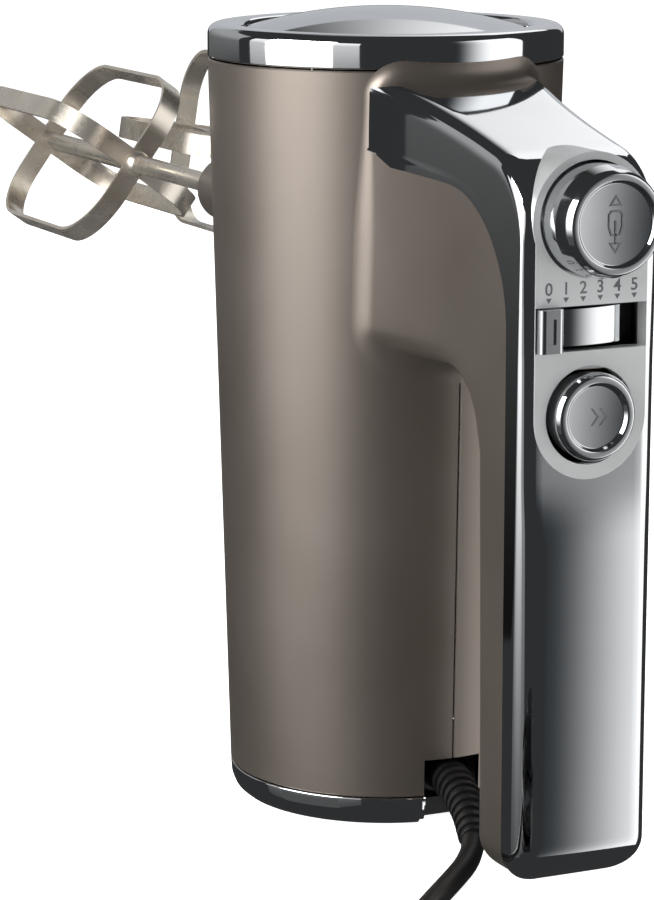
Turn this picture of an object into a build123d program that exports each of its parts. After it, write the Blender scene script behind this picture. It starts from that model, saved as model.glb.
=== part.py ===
"""Hand mixer standing on its heel: tapered round body, D-shaped handle loop with a
bright cover, control plate, sideways beaters, worm drive and a cord.

Millimetres. +Z is up along the body's axis, the origin is the centre of the heel's
flat face, the handle points to -Y and the beaters to +Y.
"""
from build123d import *
from math import atan, cos, degrees, pi, radians, sin, sqrt, tan
import os

os.makedirs("parts", exist_ok=True)

# ---------------------------------------------------------------- driving dimensions
# Body
HEEL_SEAM_Z = 7.6            # top edge of the bright heel ring
NOSE_SEAM_Z = 188.6          # bottom edge of the bright nose ring
HEEL_SEAM_R = 39.6           # outer radius at the heel seam
NOSE_SEAM_R = 44.5           # outer radius at the nose seam
WALL = 2.2                   # moulded wall
FIT_GAP = 0.15               # gap between neighbouring shells
# Handle, seen from the side (Y, Z) and from above (X, Y)
GRIP_FRONT_Y = -106.3
GRIP_BACK_Y = -82.3
GRIP_HALF_WIDTH = 17.5
GRIP_BOTTOM_Z = 4.0
HOOD_TOP_Z = 182.3           # height of the hood's top at Y = HOOD_TOP_Y
HOOD_TOP_Y = -60.0
HOOD_SLOPE = 0.2345          # fall of the hood's top towards the grip
HOOD_BEND_R = 18.0
ARCH_Z = 121.0               # underside of the neck
ARCH_BEND_R = 20.0
SEAM_Y = -98.5               # seam between cover and housing on the grip
SEAM_Z = 165.2               # the same seam under the hood
SEAM_BEND_R = 29.0
COVER_WALL = 1.8
HOOD_EDGE_R = 24.3           # the hood's back edge is an arc round this centre
HOOD_EDGE_Y = -29.7
# Controls, all on the grip's front face
EJECT_Z = 160.1
EJECT_R = 12.9
EJECT_FACE_R = 11.4
EJECT_PROUD = 11.5
EJECT_TRAVEL = 6.0
TURBO_Z = 115.3
TURBO_R = 10.2
TURBO_PROUD = 4.0
TURBO_TRAVEL = 2.5
PLATE_HALF_WIDTH = 14.35
PLATE_BOTTOM_Z = 100.5
SLOT_Z = 135.4
SLOT_HEIGHT = 10.4
SPEED_STEPS = 5
SPEED_PITCH = 4.4
KNOB_WIDTH = 6.0
KNOB_PROUD = 2.6
# Drive
SPINDLE_X = 21.8
SPINDLE_Z = 151.0
GEAR_MODULE = 1.25
WHEEL_TEETH = 27
WHEEL_WIDTH = 6.0
PRESSURE_ANGLE = 20.0
FLANK_PLAY = 0.18            # backlash taken off each flank
SHAFT_R = 3.0
RUN_FIT = 0.06               # radial clearance of running and sliding fits
# Beaters
BEATER_TIP_Y = 184.0
BEATER_ROOT_Y = 113.3
BEATER_OUTER_R = 26.0
STRIP_WIDTH = 6.0
STRIP_THICK = 1.0
SHANK_R = 2.6
SHANK_END_Y = -12.0
BOSS_R = 8.4
BOSS_END_Y = 51.0
BEATER_TURN = 54.0           # turn of the left beater's first loop from +X
# Cord
CORD_D = 5.6
COIL_CENTRE = (-41.0, -171.0)
COIL_MID_R = 31.0
COIL_TURNS_WIDE = 3
COIL_TURNS_HIGH = 2

GRIP_FLOOR_Z = 16.0
GRIP_FRONT_ROUND = 4.0
GRIP_BACK_ROUND = 6.0
BOSS_BORE_R = 6.2
NOTCH_HALF_WIDTH = 7.5
NOTCH_TOP_Z = 17.0
NOTCH_ROUND = 3.0
PLATE_FRONT_Y = GRIP_FRONT_Y - 0.2
PLATE_THICK = 2.9
FLANGE_HALF_WIDTH = 15.1
EJECT_RIM_R = 15.2
EJECT_HOLE_R = 13.4
TURBO_HOLE_R = 11.4
SLOT_HALF_WIDTH = 14.3
CONTROL_BACK_Y = -92.0       # the cover's opening is cut this deep round the eject button
BOARD_Y = -90.2              # front face of the circuit board
EJECT_STEM_END_Y = -40.0
EJECT_SPRING_Y = -114.5
TURBO_STEM_END_Y = -97.6
TURBO_SPRING_Y = PLATE_FRONT_Y + PLATE_THICK + 2.5   # back of the turbo button
FORK_Y = -30.0               # back face of the eject fork's crossbar
BAND_FRONT_Y = -104.9
BAND_HEIGHT = 8.4
BAND_LEFT_X = -14.2
BAND_RIGHT_X = 9.4
CARRIER_Y = -101.0
VENT_SLOTS = 16
VENT_SLOT_LONG = 9.5
WORM_ROOT_R = 3.75
WORM_LOW_Z = 136.0
WORM_HIGH_Z = 166.0
WORM_THREAD_TURNS = 6
SPINDLE_R = 5.0
SPINDLE_BACK_Y = -13.5
SPINDLE_FRONT_Y = 44.0
BUSH_R = 6.5
BEARING_R = 6.0
GEARBOX_WALL_Y = 12.5
GEARBOX_LOW_Z = 112.0
GEARBOX_HIGH_Z = 180.0
BRACKET_Z = 30.0
COMMUTATOR_Z = 38.0
COMMUTATOR_R = 10.0
CORE_LOW_Z = 60.0
CORE_HIGH_Z = 82.0
ROTOR_R = 14.5
ROTOR_SLOTS = 12
FAN_Z = 96.0
FAN_BLADES = 12
LOOP_ROUND = 16.0
BEAD_R = 3.6
HEEL_SCREWS = [(-14, 14), (14, 14), (0, 16)]
HEEL_SCREW_SEAT_Z = 2.3
STRAIN_ROOT_Z = 11.5
STRAIN_RIBS = 9
COIL_TIE_TURN = 80.0
PLUG_THICK = 13.7
PLUG_SHIFT = (2.9, -24.1)
PLUG_TURN = -115.0
PIN_R = 2.0
PIN_LENGTH = 19.0
PIN_SPACING = 18.6

SPEED_TRAVEL = SPEED_STEPS * SPEED_PITCH
KNOB_REST_X = -SPEED_TRAVEL / 2
WHEEL_PITCH_R = GEAR_MODULE * WHEEL_TEETH / 2
WORM_PITCH_R = SPINDLE_X - WHEEL_PITCH_R
WORM_PITCH = pi * GEAR_MODULE


# ---------------------------------------------------------------- helpers
def body_radius(z):
    """Outer radius of the tapered body at height z."""
    rise = (z - HEEL_SEAM_Z) / (NOSE_SEAM_Z - HEEL_SEAM_Z)
    return HEEL_SEAM_R + (NOSE_SEAM_R - HEEL_SEAM_R) * rise


def hood_top(y):
    """Height of the hood's top face at depth y."""
    return HOOD_TOP_Z + HOOD_SLOPE * (y - HOOD_TOP_Y)


def rounded_polygon(points, radii):
    """Closed outline with its own corner radius at each point (0 leaves it sharp)."""
    face = make_face(Polyline(*points, close=True))
    for point, radius in zip(points, radii):
        if radius > 0:
            corner = face.vertices().sort_by_distance((*point, 0))[0]
            face = fillet(corner, radius)
    return face


def from_side(face, half_width):
    """A face drawn in (Y, Z) thickened to both sides of X = 0."""
    placed = Plane.YZ * face
    return extrude(placed, half_width, both=True)


def turned(points):
    """Solid of revolution round Z from (radius, z) points."""
    face = make_face(Polyline(*points, close=True))
    solid = revolve(Plane.XZ * face, Axis.Z, 360)
    return solid


def drum(radius, y_low, y_high, x=0.0, z=0.0):
    """Cylinder along Y between two depths."""
    middle = (y_low + y_high) / 2
    return Pos(x, middle, z) * Rot(90, 0, 0) * Cylinder(radius, y_high - y_low)


def pole(radius, z_low, z_high, x=0.0, y=0.0):
    """Cylinder along Z between two heights."""
    return Pos(x, y, (z_low + z_high) / 2) * Cylinder(radius, z_high - z_low)


def block(x_low, x_high, y_low, y_high, z_low, z_high):
    """Box between two corners."""
    size = Box(x_high - x_low, y_high - y_low, z_high - z_low)
    return Pos((x_low + x_high) / 2, (y_low + y_high) / 2, (z_low + z_high) / 2) * size


def save(name, shape):
    """Write one sub-part."""
    export_step(shape, f"parts/{name}.step")
    print(f"{name:22s} {len(shape.solids()):2d} solids  {shape.volume:10.1f} mm3")


# ---------------------------------------------------------------- outer forms
def body_cone(inset, z_low=HEEL_SEAM_Z, z_high=NOSE_SEAM_Z):
    """The tapered body, or its hollow when inset is the wall."""
    points = [(0, z_low), (body_radius(z_low) - inset, z_low)]
    points += [(body_radius(z_high) - inset, z_high), (0, z_high)]
    return turned(points)


def side_outline(inset):
    """Side view of neck, hood and grip."""
    front = GRIP_FRONT_Y + inset
    back = GRIP_BACK_Y - inset
    top_drop = inset * sqrt(1 + HOOD_SLOPE ** 2)
    inner_y = -36.0
    points = [
        (back, GRIP_BOTTOM_Z + inset),
        (front, GRIP_BOTTOM_Z + inset),
        (front, hood_top(front) - top_drop),
        (inner_y, hood_top(inner_y) - top_drop),
        (inner_y, ARCH_Z + inset),
        (back, ARCH_Z + inset),
    ]
    radii = [7 - inset, 10 - inset, HOOD_BEND_R - inset, 0, 0, ARCH_BEND_R + inset]
    return rounded_polygon(points, radii)


def plan_outline(inset):
    """Top view of neck and grip: straight grip, flared where it meets the body."""
    width = GRIP_HALF_WIDTH - inset
    front = GRIP_FRONT_Y + inset - 1
    flare = Spline(
        (width, GRIP_BACK_Y), (width + 1.2, -64), (width + 6.5, -34), tangents=[(0, 1), (0.42, 1)]
    )
    edge = [
        Line((0, front), (width, front)),
        Line((width, front), (width, GRIP_BACK_Y)),
        flare,
        Line((width + 6.5, -34), (0, -34)),
    ]
    half = make_face(edge + [Line((0, -34), (0, front))])
    return half + mirror(half, Plane.YZ)


def front_outline(inset):
    """Front view of the grip: its lower end is rounded, and above that it is open."""
    width = GRIP_HALF_WIDTH - inset
    bottom = GRIP_BOTTOM_Z + inset
    points = [(-width, bottom), (width, bottom), (width, 60), (40, 61), (40, 260)]
    points += [(-40, 260), (-40, 61), (-width, 60)]
    radii = [9 - inset, 9 - inset, 0, 0, 0, 0, 0, 0]
    return rounded_polygon(points, radii)


def handle_form(inset):
    """Neck and grip as one solid, with its long edges rounded."""
    side = from_side(side_outline(inset), 40)
    plan = extrude(plan_outline(inset), 260)
    front = extrude(Plane.XZ * front_outline(inset), 130)
    form = (side & plan & front).solids()[0]
    gap_side = []
    for edge in form.edges():
        at = edge.center()
        if abs(at.X) > 8 and GRIP_BACK_Y - inset - 3 < at.Y < -37 and at.Z < ARCH_Z + inset + 1:
            gap_side.append(edge)
    form = fillet(gap_side, GRIP_BACK_ROUND - inset)
    hand_side = []
    for edge in form.edges():
        at = edge.center()
        if abs(at.X) > 8 and at.Y < -37 and (at.Y < -100 or at.Z > 150):
            hand_side.append(edge)
    return fillet(hand_side, GRIP_FRONT_ROUND - inset)


def handle_hollow(wall):
    """Inside of neck and grip, closed by a thick floor at the grip's lower end."""
    return handle_form(wall) & block(-60, 60, -140, 0, GRIP_FLOOR_Z, 230)


def cover_region(grow):
    """Everything on the outer side of the seam between cover and housing."""
    seam_y = SEAM_Y + grow
    seam_z = SEAM_Z - grow
    points = [(-130, -20), (seam_y, -20), (seam_y, seam_z - 2), (-30, seam_z + 2)]
    points += [(-30, 230), (-130, 230)]
    return from_side(rounded_polygon(points, [0, 0, SEAM_BEND_R, 0, 0, 0]), 40)


def hood_edge(grow):
    """Upright cylinder whose side is the hood's back edge."""
    return pole(HOOD_EDGE_R + grow, 140, 240, 0, HOOD_EDGE_Y)


def plate_outline(grow):
    """Control plate seen from the front, round below the turbo and round the eject button."""
    half = PLATE_HALF_WIDTH + grow
    low_centre = PLATE_BOTTOM_Z + PLATE_HALF_WIDTH
    strip = Pos(0, (low_centre + EJECT_Z) / 2) * Rectangle(2 * half, EJECT_Z - low_centre)
    low_end = Pos(0, low_centre) * Circle(half)
    high_end = Pos(0, EJECT_Z) * Circle(EJECT_RIM_R + grow)
    return strip + low_end + high_end


def facing_front(face, y_front, y_back):
    """A face drawn in (X, Z), thickened between two depths."""
    flat = Plane(origin=(0, y_back, 0), x_dir=(1, 0, 0), z_dir=(0, -1, 0)) * face
    return extrude(flat, y_back - y_front)


# ---------------------------------------------------------------- casing
def make_housings():
    """Body, neck and inner half of the grip, split into left and right shells."""
    handle = handle_form(0)
    below_seam = handle - cover_region(FIT_GAP)
    shoulder = handle & hood_edge(0)
    form = body_cone(0) + below_seam + shoulder
    form = form.solids().sort_by(SortBy.VOLUME)[-1]
    for side in (-1, 1):
        boss = drum(BOSS_R, 20, BOSS_END_Y, side * SPINDLE_X, SPINDLE_Z)
        form += boss
    form -= body_cone(WALL, HEEL_SEAM_Z, NOSE_SEAM_Z)
    form -= handle_hollow(WALL)
    for side in (-1, 1):
        form -= drum(BOSS_BORE_R, 10, BOSS_END_Y + 1, side * SPINDLE_X, SPINDLE_Z)
    form -= notch_form(0)
    halves = {}
    for name, side in (("left_housing", -1), ("right_housing", 1)):
        room = block(min(0, side * 60), max(0, side * 60), -140, 80, -5, 220)
        halves[name] = (form & room).solids().sort_by(SortBy.VOLUME)[-1]
    return halves


def notch_form(grow):
    """Cut for the cord at the bottom of the body, on the handle side."""
    half = NOTCH_HALF_WIDTH + grow
    outline = rounded_polygon(
        [(-half, -5), (half, -5), (half, NOTCH_TOP_Z + grow), (-half, NOTCH_TOP_Z + grow)],
        [0, 0, NOTCH_ROUND, NOTCH_ROUND],
    )
    return facing_front(outline, -60, -30)


def make_handle_cover():
    """Bright cover: hood over the neck and front of the grip."""
    shell = handle_form(0) & cover_region(0)
    shell -= hood_edge(FIT_GAP)
    shell -= body_cone(-FIT_GAP, HEEL_SEAM_Z, NOSE_SEAM_Z)
    shell -= handle_hollow(COVER_WALL)
    shell -= facing_front(plate_outline(FIT_GAP), -120, CONTROL_BACK_Y)
    return shell.solids().sort_by(SortBy.VOLUME)[-1]


def make_control_plate():
    """Satin plate with its rim, slot, turbo hole and the flange behind it."""
    plate = facing_front(plate_outline(0), PLATE_FRONT_Y, PLATE_FRONT_Y + PLATE_THICK)
    rim = drum(EJECT_RIM_R, PLATE_FRONT_Y, CONTROL_BACK_Y, 0, EJECT_Z)
    flange = block(
        -FLANGE_HALF_WIDTH, FLANGE_HALF_WIDTH,
        PLATE_FRONT_Y + PLATE_THICK, PLATE_FRONT_Y + PLATE_THICK + 1.1,
        PLATE_BOTTOM_Z - 1, EJECT_Z - 4,
    )
    plate = plate + rim + flange
    plate -= drum(EJECT_HOLE_R, -120, -80, 0, EJECT_Z)
    plate -= drum(TURBO_HOLE_R, -120, -80, 0, TURBO_Z)
    slot_low = SLOT_Z - SLOT_HEIGHT / 2
    slot_high = SLOT_Z + SLOT_HEIGHT / 2
    plate -= block(-SLOT_HALF_WIDTH, SLOT_HALF_WIDTH, -120, -80, slot_low, slot_high)
    plate = plate.solids().sort_by(SortBy.VOLUME)[-1]
    return plate


def make_nose_ring():
    """Bright ring round the nose, with a spigot inside the housings and a ledge."""
    z0 = NOSE_SEAM_Z + 0.1
    points = [
        (NOSE_SEAM_R, z0), (NOSE_SEAM_R, 193.4), (43.7, 195.6), (41.6, 197.0),
        (37.4, 197.0), (36.2, 195.8), (36.2, 192.6), (31.0, 192.6), (31.0, 190.8),
        (38.4, 190.8), (39.6, 183.0), (41.8, 183.0), (41.9, z0),
    ]
    return turned(points)


def make_nose_dome():
    """Low bright dome on a short skirt that is pierced by the vent slots."""
    skirt_r = 34.9
    top = 201.0
    crown_z = 195.9
    bulge = (skirt_r ** 2 + (top - crown_z) ** 2) / (2 * (top - crown_z))
    cap = Pos(0, 0, top - bulge) * Sphere(bulge)
    inner = Pos(0, 0, top - bulge) * Sphere(bulge - 1.6)
    shell = pole(skirt_r, 192.7, 202) & cap
    shell -= pole(skirt_r - 1.6, 192, 195.4) & inner
    for i in range(VENT_SLOTS):
        slot = block(30, 40, -VENT_SLOT_LONG / 2, VENT_SLOT_LONG / 2, 193.6, 195.0)
        shell -= Rot(0, 0, (i + 0.5) * 360 / VENT_SLOTS) * slot
    return shell.solids().sort_by(SortBy.VOLUME)[-1]


def make_heel_ring():
    """Bright foot ring: rolled edge on the floor and a spigot inside the housings."""
    top = HEEL_SEAM_Z - 0.1
    points = [
        (HEEL_SEAM_R, top), (39.4, 4.2), (38.4, 1.7), (36.4, 0.0), (33.0, 0.0), (33.0, 2.3),
        (35.0, 2.3), (35.0, 12.0), (37.2, 12.0), (37.2, top),
    ]
    return (turned(points) - notch_form(0)).solids().sort_by(SortBy.VOLUME)[-1]


def make_heel_plate():
    """Dark plate that closes the heel, with a hood behind the cord notch."""
    disc = pole(34.8, 2.4, 4.6) + pole(32.8, 0, 2.5)
    tunnel = block(-9.4, 9.4, -36.5, -24, 2.4, 19.2)
    tunnel &= pole(34.8, 2.4, 30)
    tunnel -= block(-7.4, 7.4, -60, -26, 4.6, 17)
    plate = disc + tunnel
    plate -= block(-7.4, 7.4, -60, -31, -1, 5)
    plate -= drum(CORD_D / 2 + 1.2, -40, -20, 0, STRAIN_ROOT_Z)
    for x, y in HEEL_SCREWS:
        plate -= pole(1.7, 0, 6, x, y) + pole(3.0, -1, HEEL_SCREW_SEAT_Z, x, y)
    return plate.solids().sort_by(SortBy.VOLUME)[-1]


def screw(diameter, length, head_d, head_h):
    """Pan-head screw pointing up, its head's underside at z = 0."""
    return pole(diameter / 2, 0, length) + pole(head_d / 2, -head_h, 0)


# ---------------------------------------------------------------- controls
def make_eject_button():
    """Tall round button, coned to its face, with a dished face and a stem."""
    face_y = GRIP_FRONT_Y - EJECT_PROUD
    skirt_y = -97.0
    depth = skirt_y - face_y
    points = [
        (0, 0.9), (9.6, 0.9), (10.3, 0.15), (EJECT_FACE_R - 0.9, 0), (EJECT_FACE_R, 0.9),
        (EJECT_R, depth - 6), (EJECT_R, depth), (EJECT_R - 1.6, depth),
        (EJECT_R - 1.6, depth - 6), (EJECT_FACE_R - 1.8, 3), (4.0, 3),
        (4.0, EJECT_STEM_END_Y - face_y), (0, EJECT_STEM_END_Y - face_y),
    ]
    solid = turned(points)
    return Pos(0, face_y, EJECT_Z) * Rot(-90, 0, 0) * solid


def make_eject_fork():
    """Crossbar behind the gearbox that carries one push pin for each beater."""
    bar = block(-25, 25, FORK_Y, FORK_Y + 4, SPINDLE_Z - 3.5, SPINDLE_Z + 3.5)
    neck = block(-6, 6, FORK_Y, FORK_Y + 4, SPINDLE_Z - 3.5, EJECT_Z + 6)
    sleeve = drum(6, FORK_Y - 14, FORK_Y + 1, 0, EJECT_Z)
    fork = bar + neck + sleeve - drum(4.05, FORK_Y - 20, FORK_Y - 0.5, 0, EJECT_Z)
    for side in (-1, 1):
        fork += drum(2.3, FORK_Y + 3, SHANK_END_Y - 0.3, side * SPINDLE_X, SPINDLE_Z)
    return fork


def coil_spring(radius, wire_r, pitch, turns):
    """Open compression spring along Z from z = 0."""
    height = pitch * turns
    path = Helix(pitch, height, radius)
    section = Plane(origin=path @ 0, z_dir=path % 0) * Circle(wire_r)
    return sweep(section, path=path, is_frenet=True)


def along_y(shape, y, x=0.0, z=0.0):
    """Turn a shape built up +Z so that it points to +Y, starting at depth y."""
    return Pos(x, y, z) * Rot(-90, 0, 0) * shape


def make_turbo_button():
    """Round button with a raised rim, a retaining flange and a stem."""
    face_y = GRIP_FRONT_Y - TURBO_PROUD
    flange_y = PLATE_FRONT_Y + PLATE_THICK + 1.5
    back = flange_y + 1.0 - face_y
    points = [
        (0, 1.0), (7.2, 1.0), (8.0, 0.1), (9.2, 0), (TURBO_R, 0.9),
        (TURBO_R, flange_y - face_y), (TURBO_HOLE_R + 1.0, flange_y - face_y),
        (TURBO_HOLE_R + 1.0, back), (2.0, back), (2.0, TURBO_STEM_END_Y - face_y),
        (0, TURBO_STEM_END_Y - face_y),
    ]
    return along_y(turned(points), face_y, 0, TURBO_Z)


def make_speed_knob():
    """Upright thumb piece at position 0, with two legs that straddle the band."""
    low = SLOT_Z - SLOT_HEIGHT / 2 + 0.25
    high = SLOT_Z + SLOT_HEIGHT / 2 - 0.25
    x0 = KNOB_REST_X - KNOB_WIDTH / 2
    x1 = KNOB_REST_X + KNOB_WIDTH / 2
    head = block(x0, x1, GRIP_FRONT_Y - KNOB_PROUD, BAND_FRONT_Y - 0.3, low, high)
    head = fillet(head.edges().filter_by(Axis.Z), 1.2)
    groove = block(
        KNOB_REST_X - 0.8, KNOB_REST_X + 0.8, GRIP_FRONT_Y - KNOB_PROUD - 1,
        GRIP_FRONT_Y - KNOB_PROUD + 0.7, SLOT_Z - 2.9, SLOT_Z + 2.9,
    )
    knob = head - groove
    for level in (low, high - 0.6):
        knob += block(x0 + 1, x1 - 1, BAND_FRONT_Y - 1, CARRIER_Y, level, level + 0.6)
    return knob


def make_slider_band():
    """Fixed bright band across the slot, bowed forwards, open at its right end."""
    bow = 34.0
    centre_x = (BAND_LEFT_X + BAND_RIGHT_X) / 2
    ring = pole(bow, SLOT_Z - BAND_HEIGHT / 2, SLOT_Z + BAND_HEIGHT / 2)
    ring -= pole(bow - 1.0, 0, 300)
    ring = Pos(centre_x, BAND_FRONT_Y + bow, 0) * ring
    room = block(BAND_LEFT_X, BAND_RIGHT_X, -110, BAND_FRONT_Y + 6, 0, 300)
    return (ring & room).solids()[0]


# ---------------------------------------------------------------- motor and gears
def make_worm():
    """One-start worm: a sleeve on the motor shaft with its thread."""
    sleeve = pole(WORM_ROOT_R, WORM_LOW_Z, WORM_HIGH_Z) - pole(SHAFT_R, 0, 300)
    half_pitch_line = WORM_PITCH / 4 - FLANK_PLAY
    slope = tan(radians(PRESSURE_ANGLE))
    tip_half = half_pitch_line - GEAR_MODULE * slope * 0.9
    root_depth = WORM_PITCH_R - WORM_ROOT_R + 0.3
    root_half = half_pitch_line + root_depth * slope
    tip_out = GEAR_MODULE * 0.9
    height = WORM_THREAD_TURNS * WORM_PITCH
    path = Helix(WORM_PITCH, height, WORM_PITCH_R)
    section = make_face(
        Polyline(
            (-root_depth, -root_half), (tip_out, -tip_half), (tip_out, tip_half),
            (-root_depth, root_half), close=True,
        )
    )
    start = Plane(origin=path @ 0, x_dir=(1, 0, 0), z_dir=path % 0)
    thread = sweep(start * section, path=path, is_frenet=True)
    thread = Pos(0, 0, SPINDLE_Z - height / 2) * thread
    return sleeve + thread


def involute_point(base_r, radius, offset):
    """Point of an involute at a radius, turned by offset radians."""
    roll = sqrt(max(radius ** 2 / base_r ** 2 - 1, 0))
    turn = roll - atan(roll) + offset
    return turn


def make_worm_wheel(side):
    """Twisted-tooth wheel on the spindle; side is -1 left, +1 right of the worm."""
    tip_r = WHEEL_PITCH_R + GEAR_MODULE * 0.9
    root_r = WHEEL_PITCH_R - GEAR_MODULE * 1.25
    base_r = WHEEL_PITCH_R * cos(radians(PRESSURE_ANGLE))
    pitch_turn = involute_point(base_r, WHEEL_PITCH_R, 0)
    half_tooth = (WORM_PITCH / 4 - FLANK_PLAY) / WHEEL_PITCH_R
    radii = [root_r, (root_r + base_r) / 2, base_r]
    radii += [base_r + (tip_r - base_r) * k / 3 for k in (1, 2, 3)]
    flank = []
    for radius in radii:
        turn = involute_point(base_r, max(radius, base_r), 0)
        flank.append((radius, half_tooth + pitch_turn - turn))
    points = []
    for tooth in range(WHEEL_TEETH):
        middle = tooth * 2 * pi / WHEEL_TEETH
        for radius, half in flank:
            points.append((radius * cos(middle - half), radius * sin(middle - half)))
        for radius, half in reversed(flank):
            points.append((radius * cos(middle + half), radius * sin(middle + half)))
    outline = Polyline(*points, close=True)
    twist = degrees(WHEEL_WIDTH * WORM_PITCH / (2 * pi * WORM_PITCH_R) / WHEEL_PITCH_R)
    gear = Solid.extrude_linear_with_rotation(
        make_face(outline).face(), (0, 0, 0), (0, 0, WHEEL_WIDTH), twist
    )
    gear = Rot(0, 0, -twist / 2) * gear
    gear -= pole(SPINDLE_R, -1, WHEEL_WIDTH + 1)
    # The left wheel meets the thread with a tooth's middle, half a pitch further on.
    phase = 0 if side < 0 else 180 + 180 / WHEEL_TEETH
    gear = along_y(Rot(0, 0, phase) * gear, -WHEEL_WIDTH / 2)
    return Pos(side * SPINDLE_X, 0, SPINDLE_Z) * gear


def make_spindle(side):
    """Hollow spindle that holds a beater's shank, with a collar against the wheel."""
    tube = drum(SPINDLE_R, SPINDLE_BACK_Y, SPINDLE_FRONT_Y, side * SPINDLE_X, SPINDLE_Z)
    tube -= drum(SHANK_R + RUN_FIT, -40, 60, side * SPINDLE_X, SPINDLE_Z)
    return tube


def make_gearbox_frame():
    """Bracket with two upright walls round the wheels and a seat for the motor."""
    base = pole(35.5, GEARBOX_LOW_Z, GEARBOX_LOW_Z + 4)
    walls = None
    for y in (-GEARBOX_WALL_Y, GEARBOX_WALL_Y - 4):
        wall = block(-34, 34, y, y + 4, GEARBOX_LOW_Z + 1, GEARBOX_HIGH_Z)
        walls = wall if walls is None else walls + wall
    bridge = block(-9, 9, -GEARBOX_WALL_Y, GEARBOX_WALL_Y, GEARBOX_HIGH_Z - 8, GEARBOX_HIGH_Z)
    frame = (base + walls + bridge) & body_cone(WALL + 1.0, 90, 187)
    for side in (-1, 1):
        frame -= drum(BUSH_R, -40, 40, side * SPINDLE_X, SPINDLE_Z)
    frame -= pole(BEARING_R, GEARBOX_LOW_Z - 1, GEARBOX_LOW_Z + 5)
    frame -= pole(SHAFT_R + 1.0, 100, 190)
    frame -= pole(BEARING_R, GEARBOX_HIGH_Z - 9, GEARBOX_HIGH_Z - 3)
    return frame.solids().sort_by(SortBy.VOLUME)[-1]


def make_spindle_bushes():
    """Four sintered bushes in the gearbox walls."""
    bushes = []
    for side in (-1, 1):
        for y in (-GEARBOX_WALL_Y, GEARBOX_WALL_Y - 4):
            bush = drum(BUSH_R, y, y + 4, side * SPINDLE_X, SPINDLE_Z)
            bushes.append(bush - drum(SPINDLE_R + RUN_FIT, -40, 40, side * SPINDLE_X, SPINDLE_Z))
    return Compound(children=bushes)


def make_bearing(z_low, z_high):
    """Plain bearing round the motor shaft."""
    return pole(BEARING_R, z_low, z_high) - pole(SHAFT_R + RUN_FIT, 0, 300)


def make_rotor_core():
    """Slotted lamination stack of the armature."""
    core = pole(ROTOR_R, CORE_LOW_Z, CORE_HIGH_Z) - pole(SHAFT_R, 0, 300)
    for i in range(ROTOR_SLOTS):
        slot = block(8.5, ROTOR_R - 1.2, -1.6, 1.6, 0, 300)
        mouth = block(ROTOR_R - 2, ROTOR_R + 1, -0.7, 0.7, 0, 300)
        core -= Rot(0, 0, i * 360 / ROTOR_SLOTS) * (slot + mouth)
    return core


def make_rotor_windings():
    """Copper end turns above and below the armature stack."""
    rings = []
    for z_low, z_high in ((CORE_LOW_Z - 6, CORE_LOW_Z - 0.2), (CORE_HIGH_Z + 0.2, CORE_HIGH_Z + 6)):
        ring = pole(ROTOR_R - 1.8, z_low, z_high) - pole(SHAFT_R + 1.2, 0, 300)
        rings.append(fillet(ring.edges().group_by(Axis.Z)[-1], 1.2))
    return Compound(children=rings)


def make_commutator():
    """Copper segments on an insulating sleeve, shown as one slotted drum."""
    drum_part = pole(COMMUTATOR_R, COMMUTATOR_Z, COMMUTATOR_Z + 12) - pole(SHAFT_R, 0, 300)
    for i in range(ROTOR_SLOTS * 2):
        cut = block(COMMUTATOR_R - 1, COMMUTATOR_R + 1, -0.3, 0.3, 0, 300)
        drum_part -= Rot(0, 0, i * 180 / ROTOR_SLOTS) * cut
    return drum_part


def make_stator_core():
    """Two-pole field stack round the armature."""
    stack = pole(36.0, CORE_LOW_Z, CORE_HIGH_Z) & block(-36, 36, -27, 27, 0, 300)
    stack -= pole(ROTOR_R + 0.7, 0, 300)
    for side in (-1, 1):
        stack -= block(min(side * 16.5, side * 27), max(side * 16.5, side * 27), -13, 13, 0, 300)
        stack -= block(min(0, side * 18), max(0, side * 18), -6.5, 6.5, 0, 300)
    return stack.solids().sort_by(SortBy.VOLUME)[-1]


def make_field_coils():
    """Two field windings beside the armature."""
    coils = []
    for side in (-1, 1):
        low_x = min(side * 17.0, side * 26.5)
        coil = block(low_x, low_x + 9.5, -12.5, 12.5, CORE_LOW_Z - 5, CORE_HIGH_Z + 5)
        coils.append(fillet(coil.edges().filter_by(Axis.Y), 2.0))
    return Compound(children=coils)


def make_fan():
    """Cooling fan: hub, disc and straight blades."""
    hub = pole(7, FAN_Z, FAN_Z + 9) + pole(30, FAN_Z, FAN_Z + 1.6)
    for i in range(FAN_BLADES):
        blade = block(7 - 1, 29.5, -0.6, 0.6, FAN_Z + 1, FAN_Z + 8)
        hub += Rot(0, 0, i * 360 / FAN_BLADES) * blade
    return hub - pole(SHAFT_R, 0, 300)


def make_lower_bracket():
    """Lower motor bracket with the bearing seat and two long legs to the stack."""
    plate = pole(36.0, BRACKET_Z, BRACKET_Z + 4) & block(-36, 36, -20, 20, 0, 300)
    for side in (-1, 1):
        low_x = min(side * 29, side * 33)
        plate += block(low_x, low_x + 4, -8, 8, BRACKET_Z + 1, CORE_LOW_Z)
    plate -= pole(BEARING_R, BRACKET_Z - 1, BRACKET_Z + 5)
    for x, y in HEEL_SCREWS:
        plate -= pole(1.55, BRACKET_Z - 5, BRACKET_Z + 5, x, y)
    return plate.solids().sort_by(SortBy.VOLUME)[-1]


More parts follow.
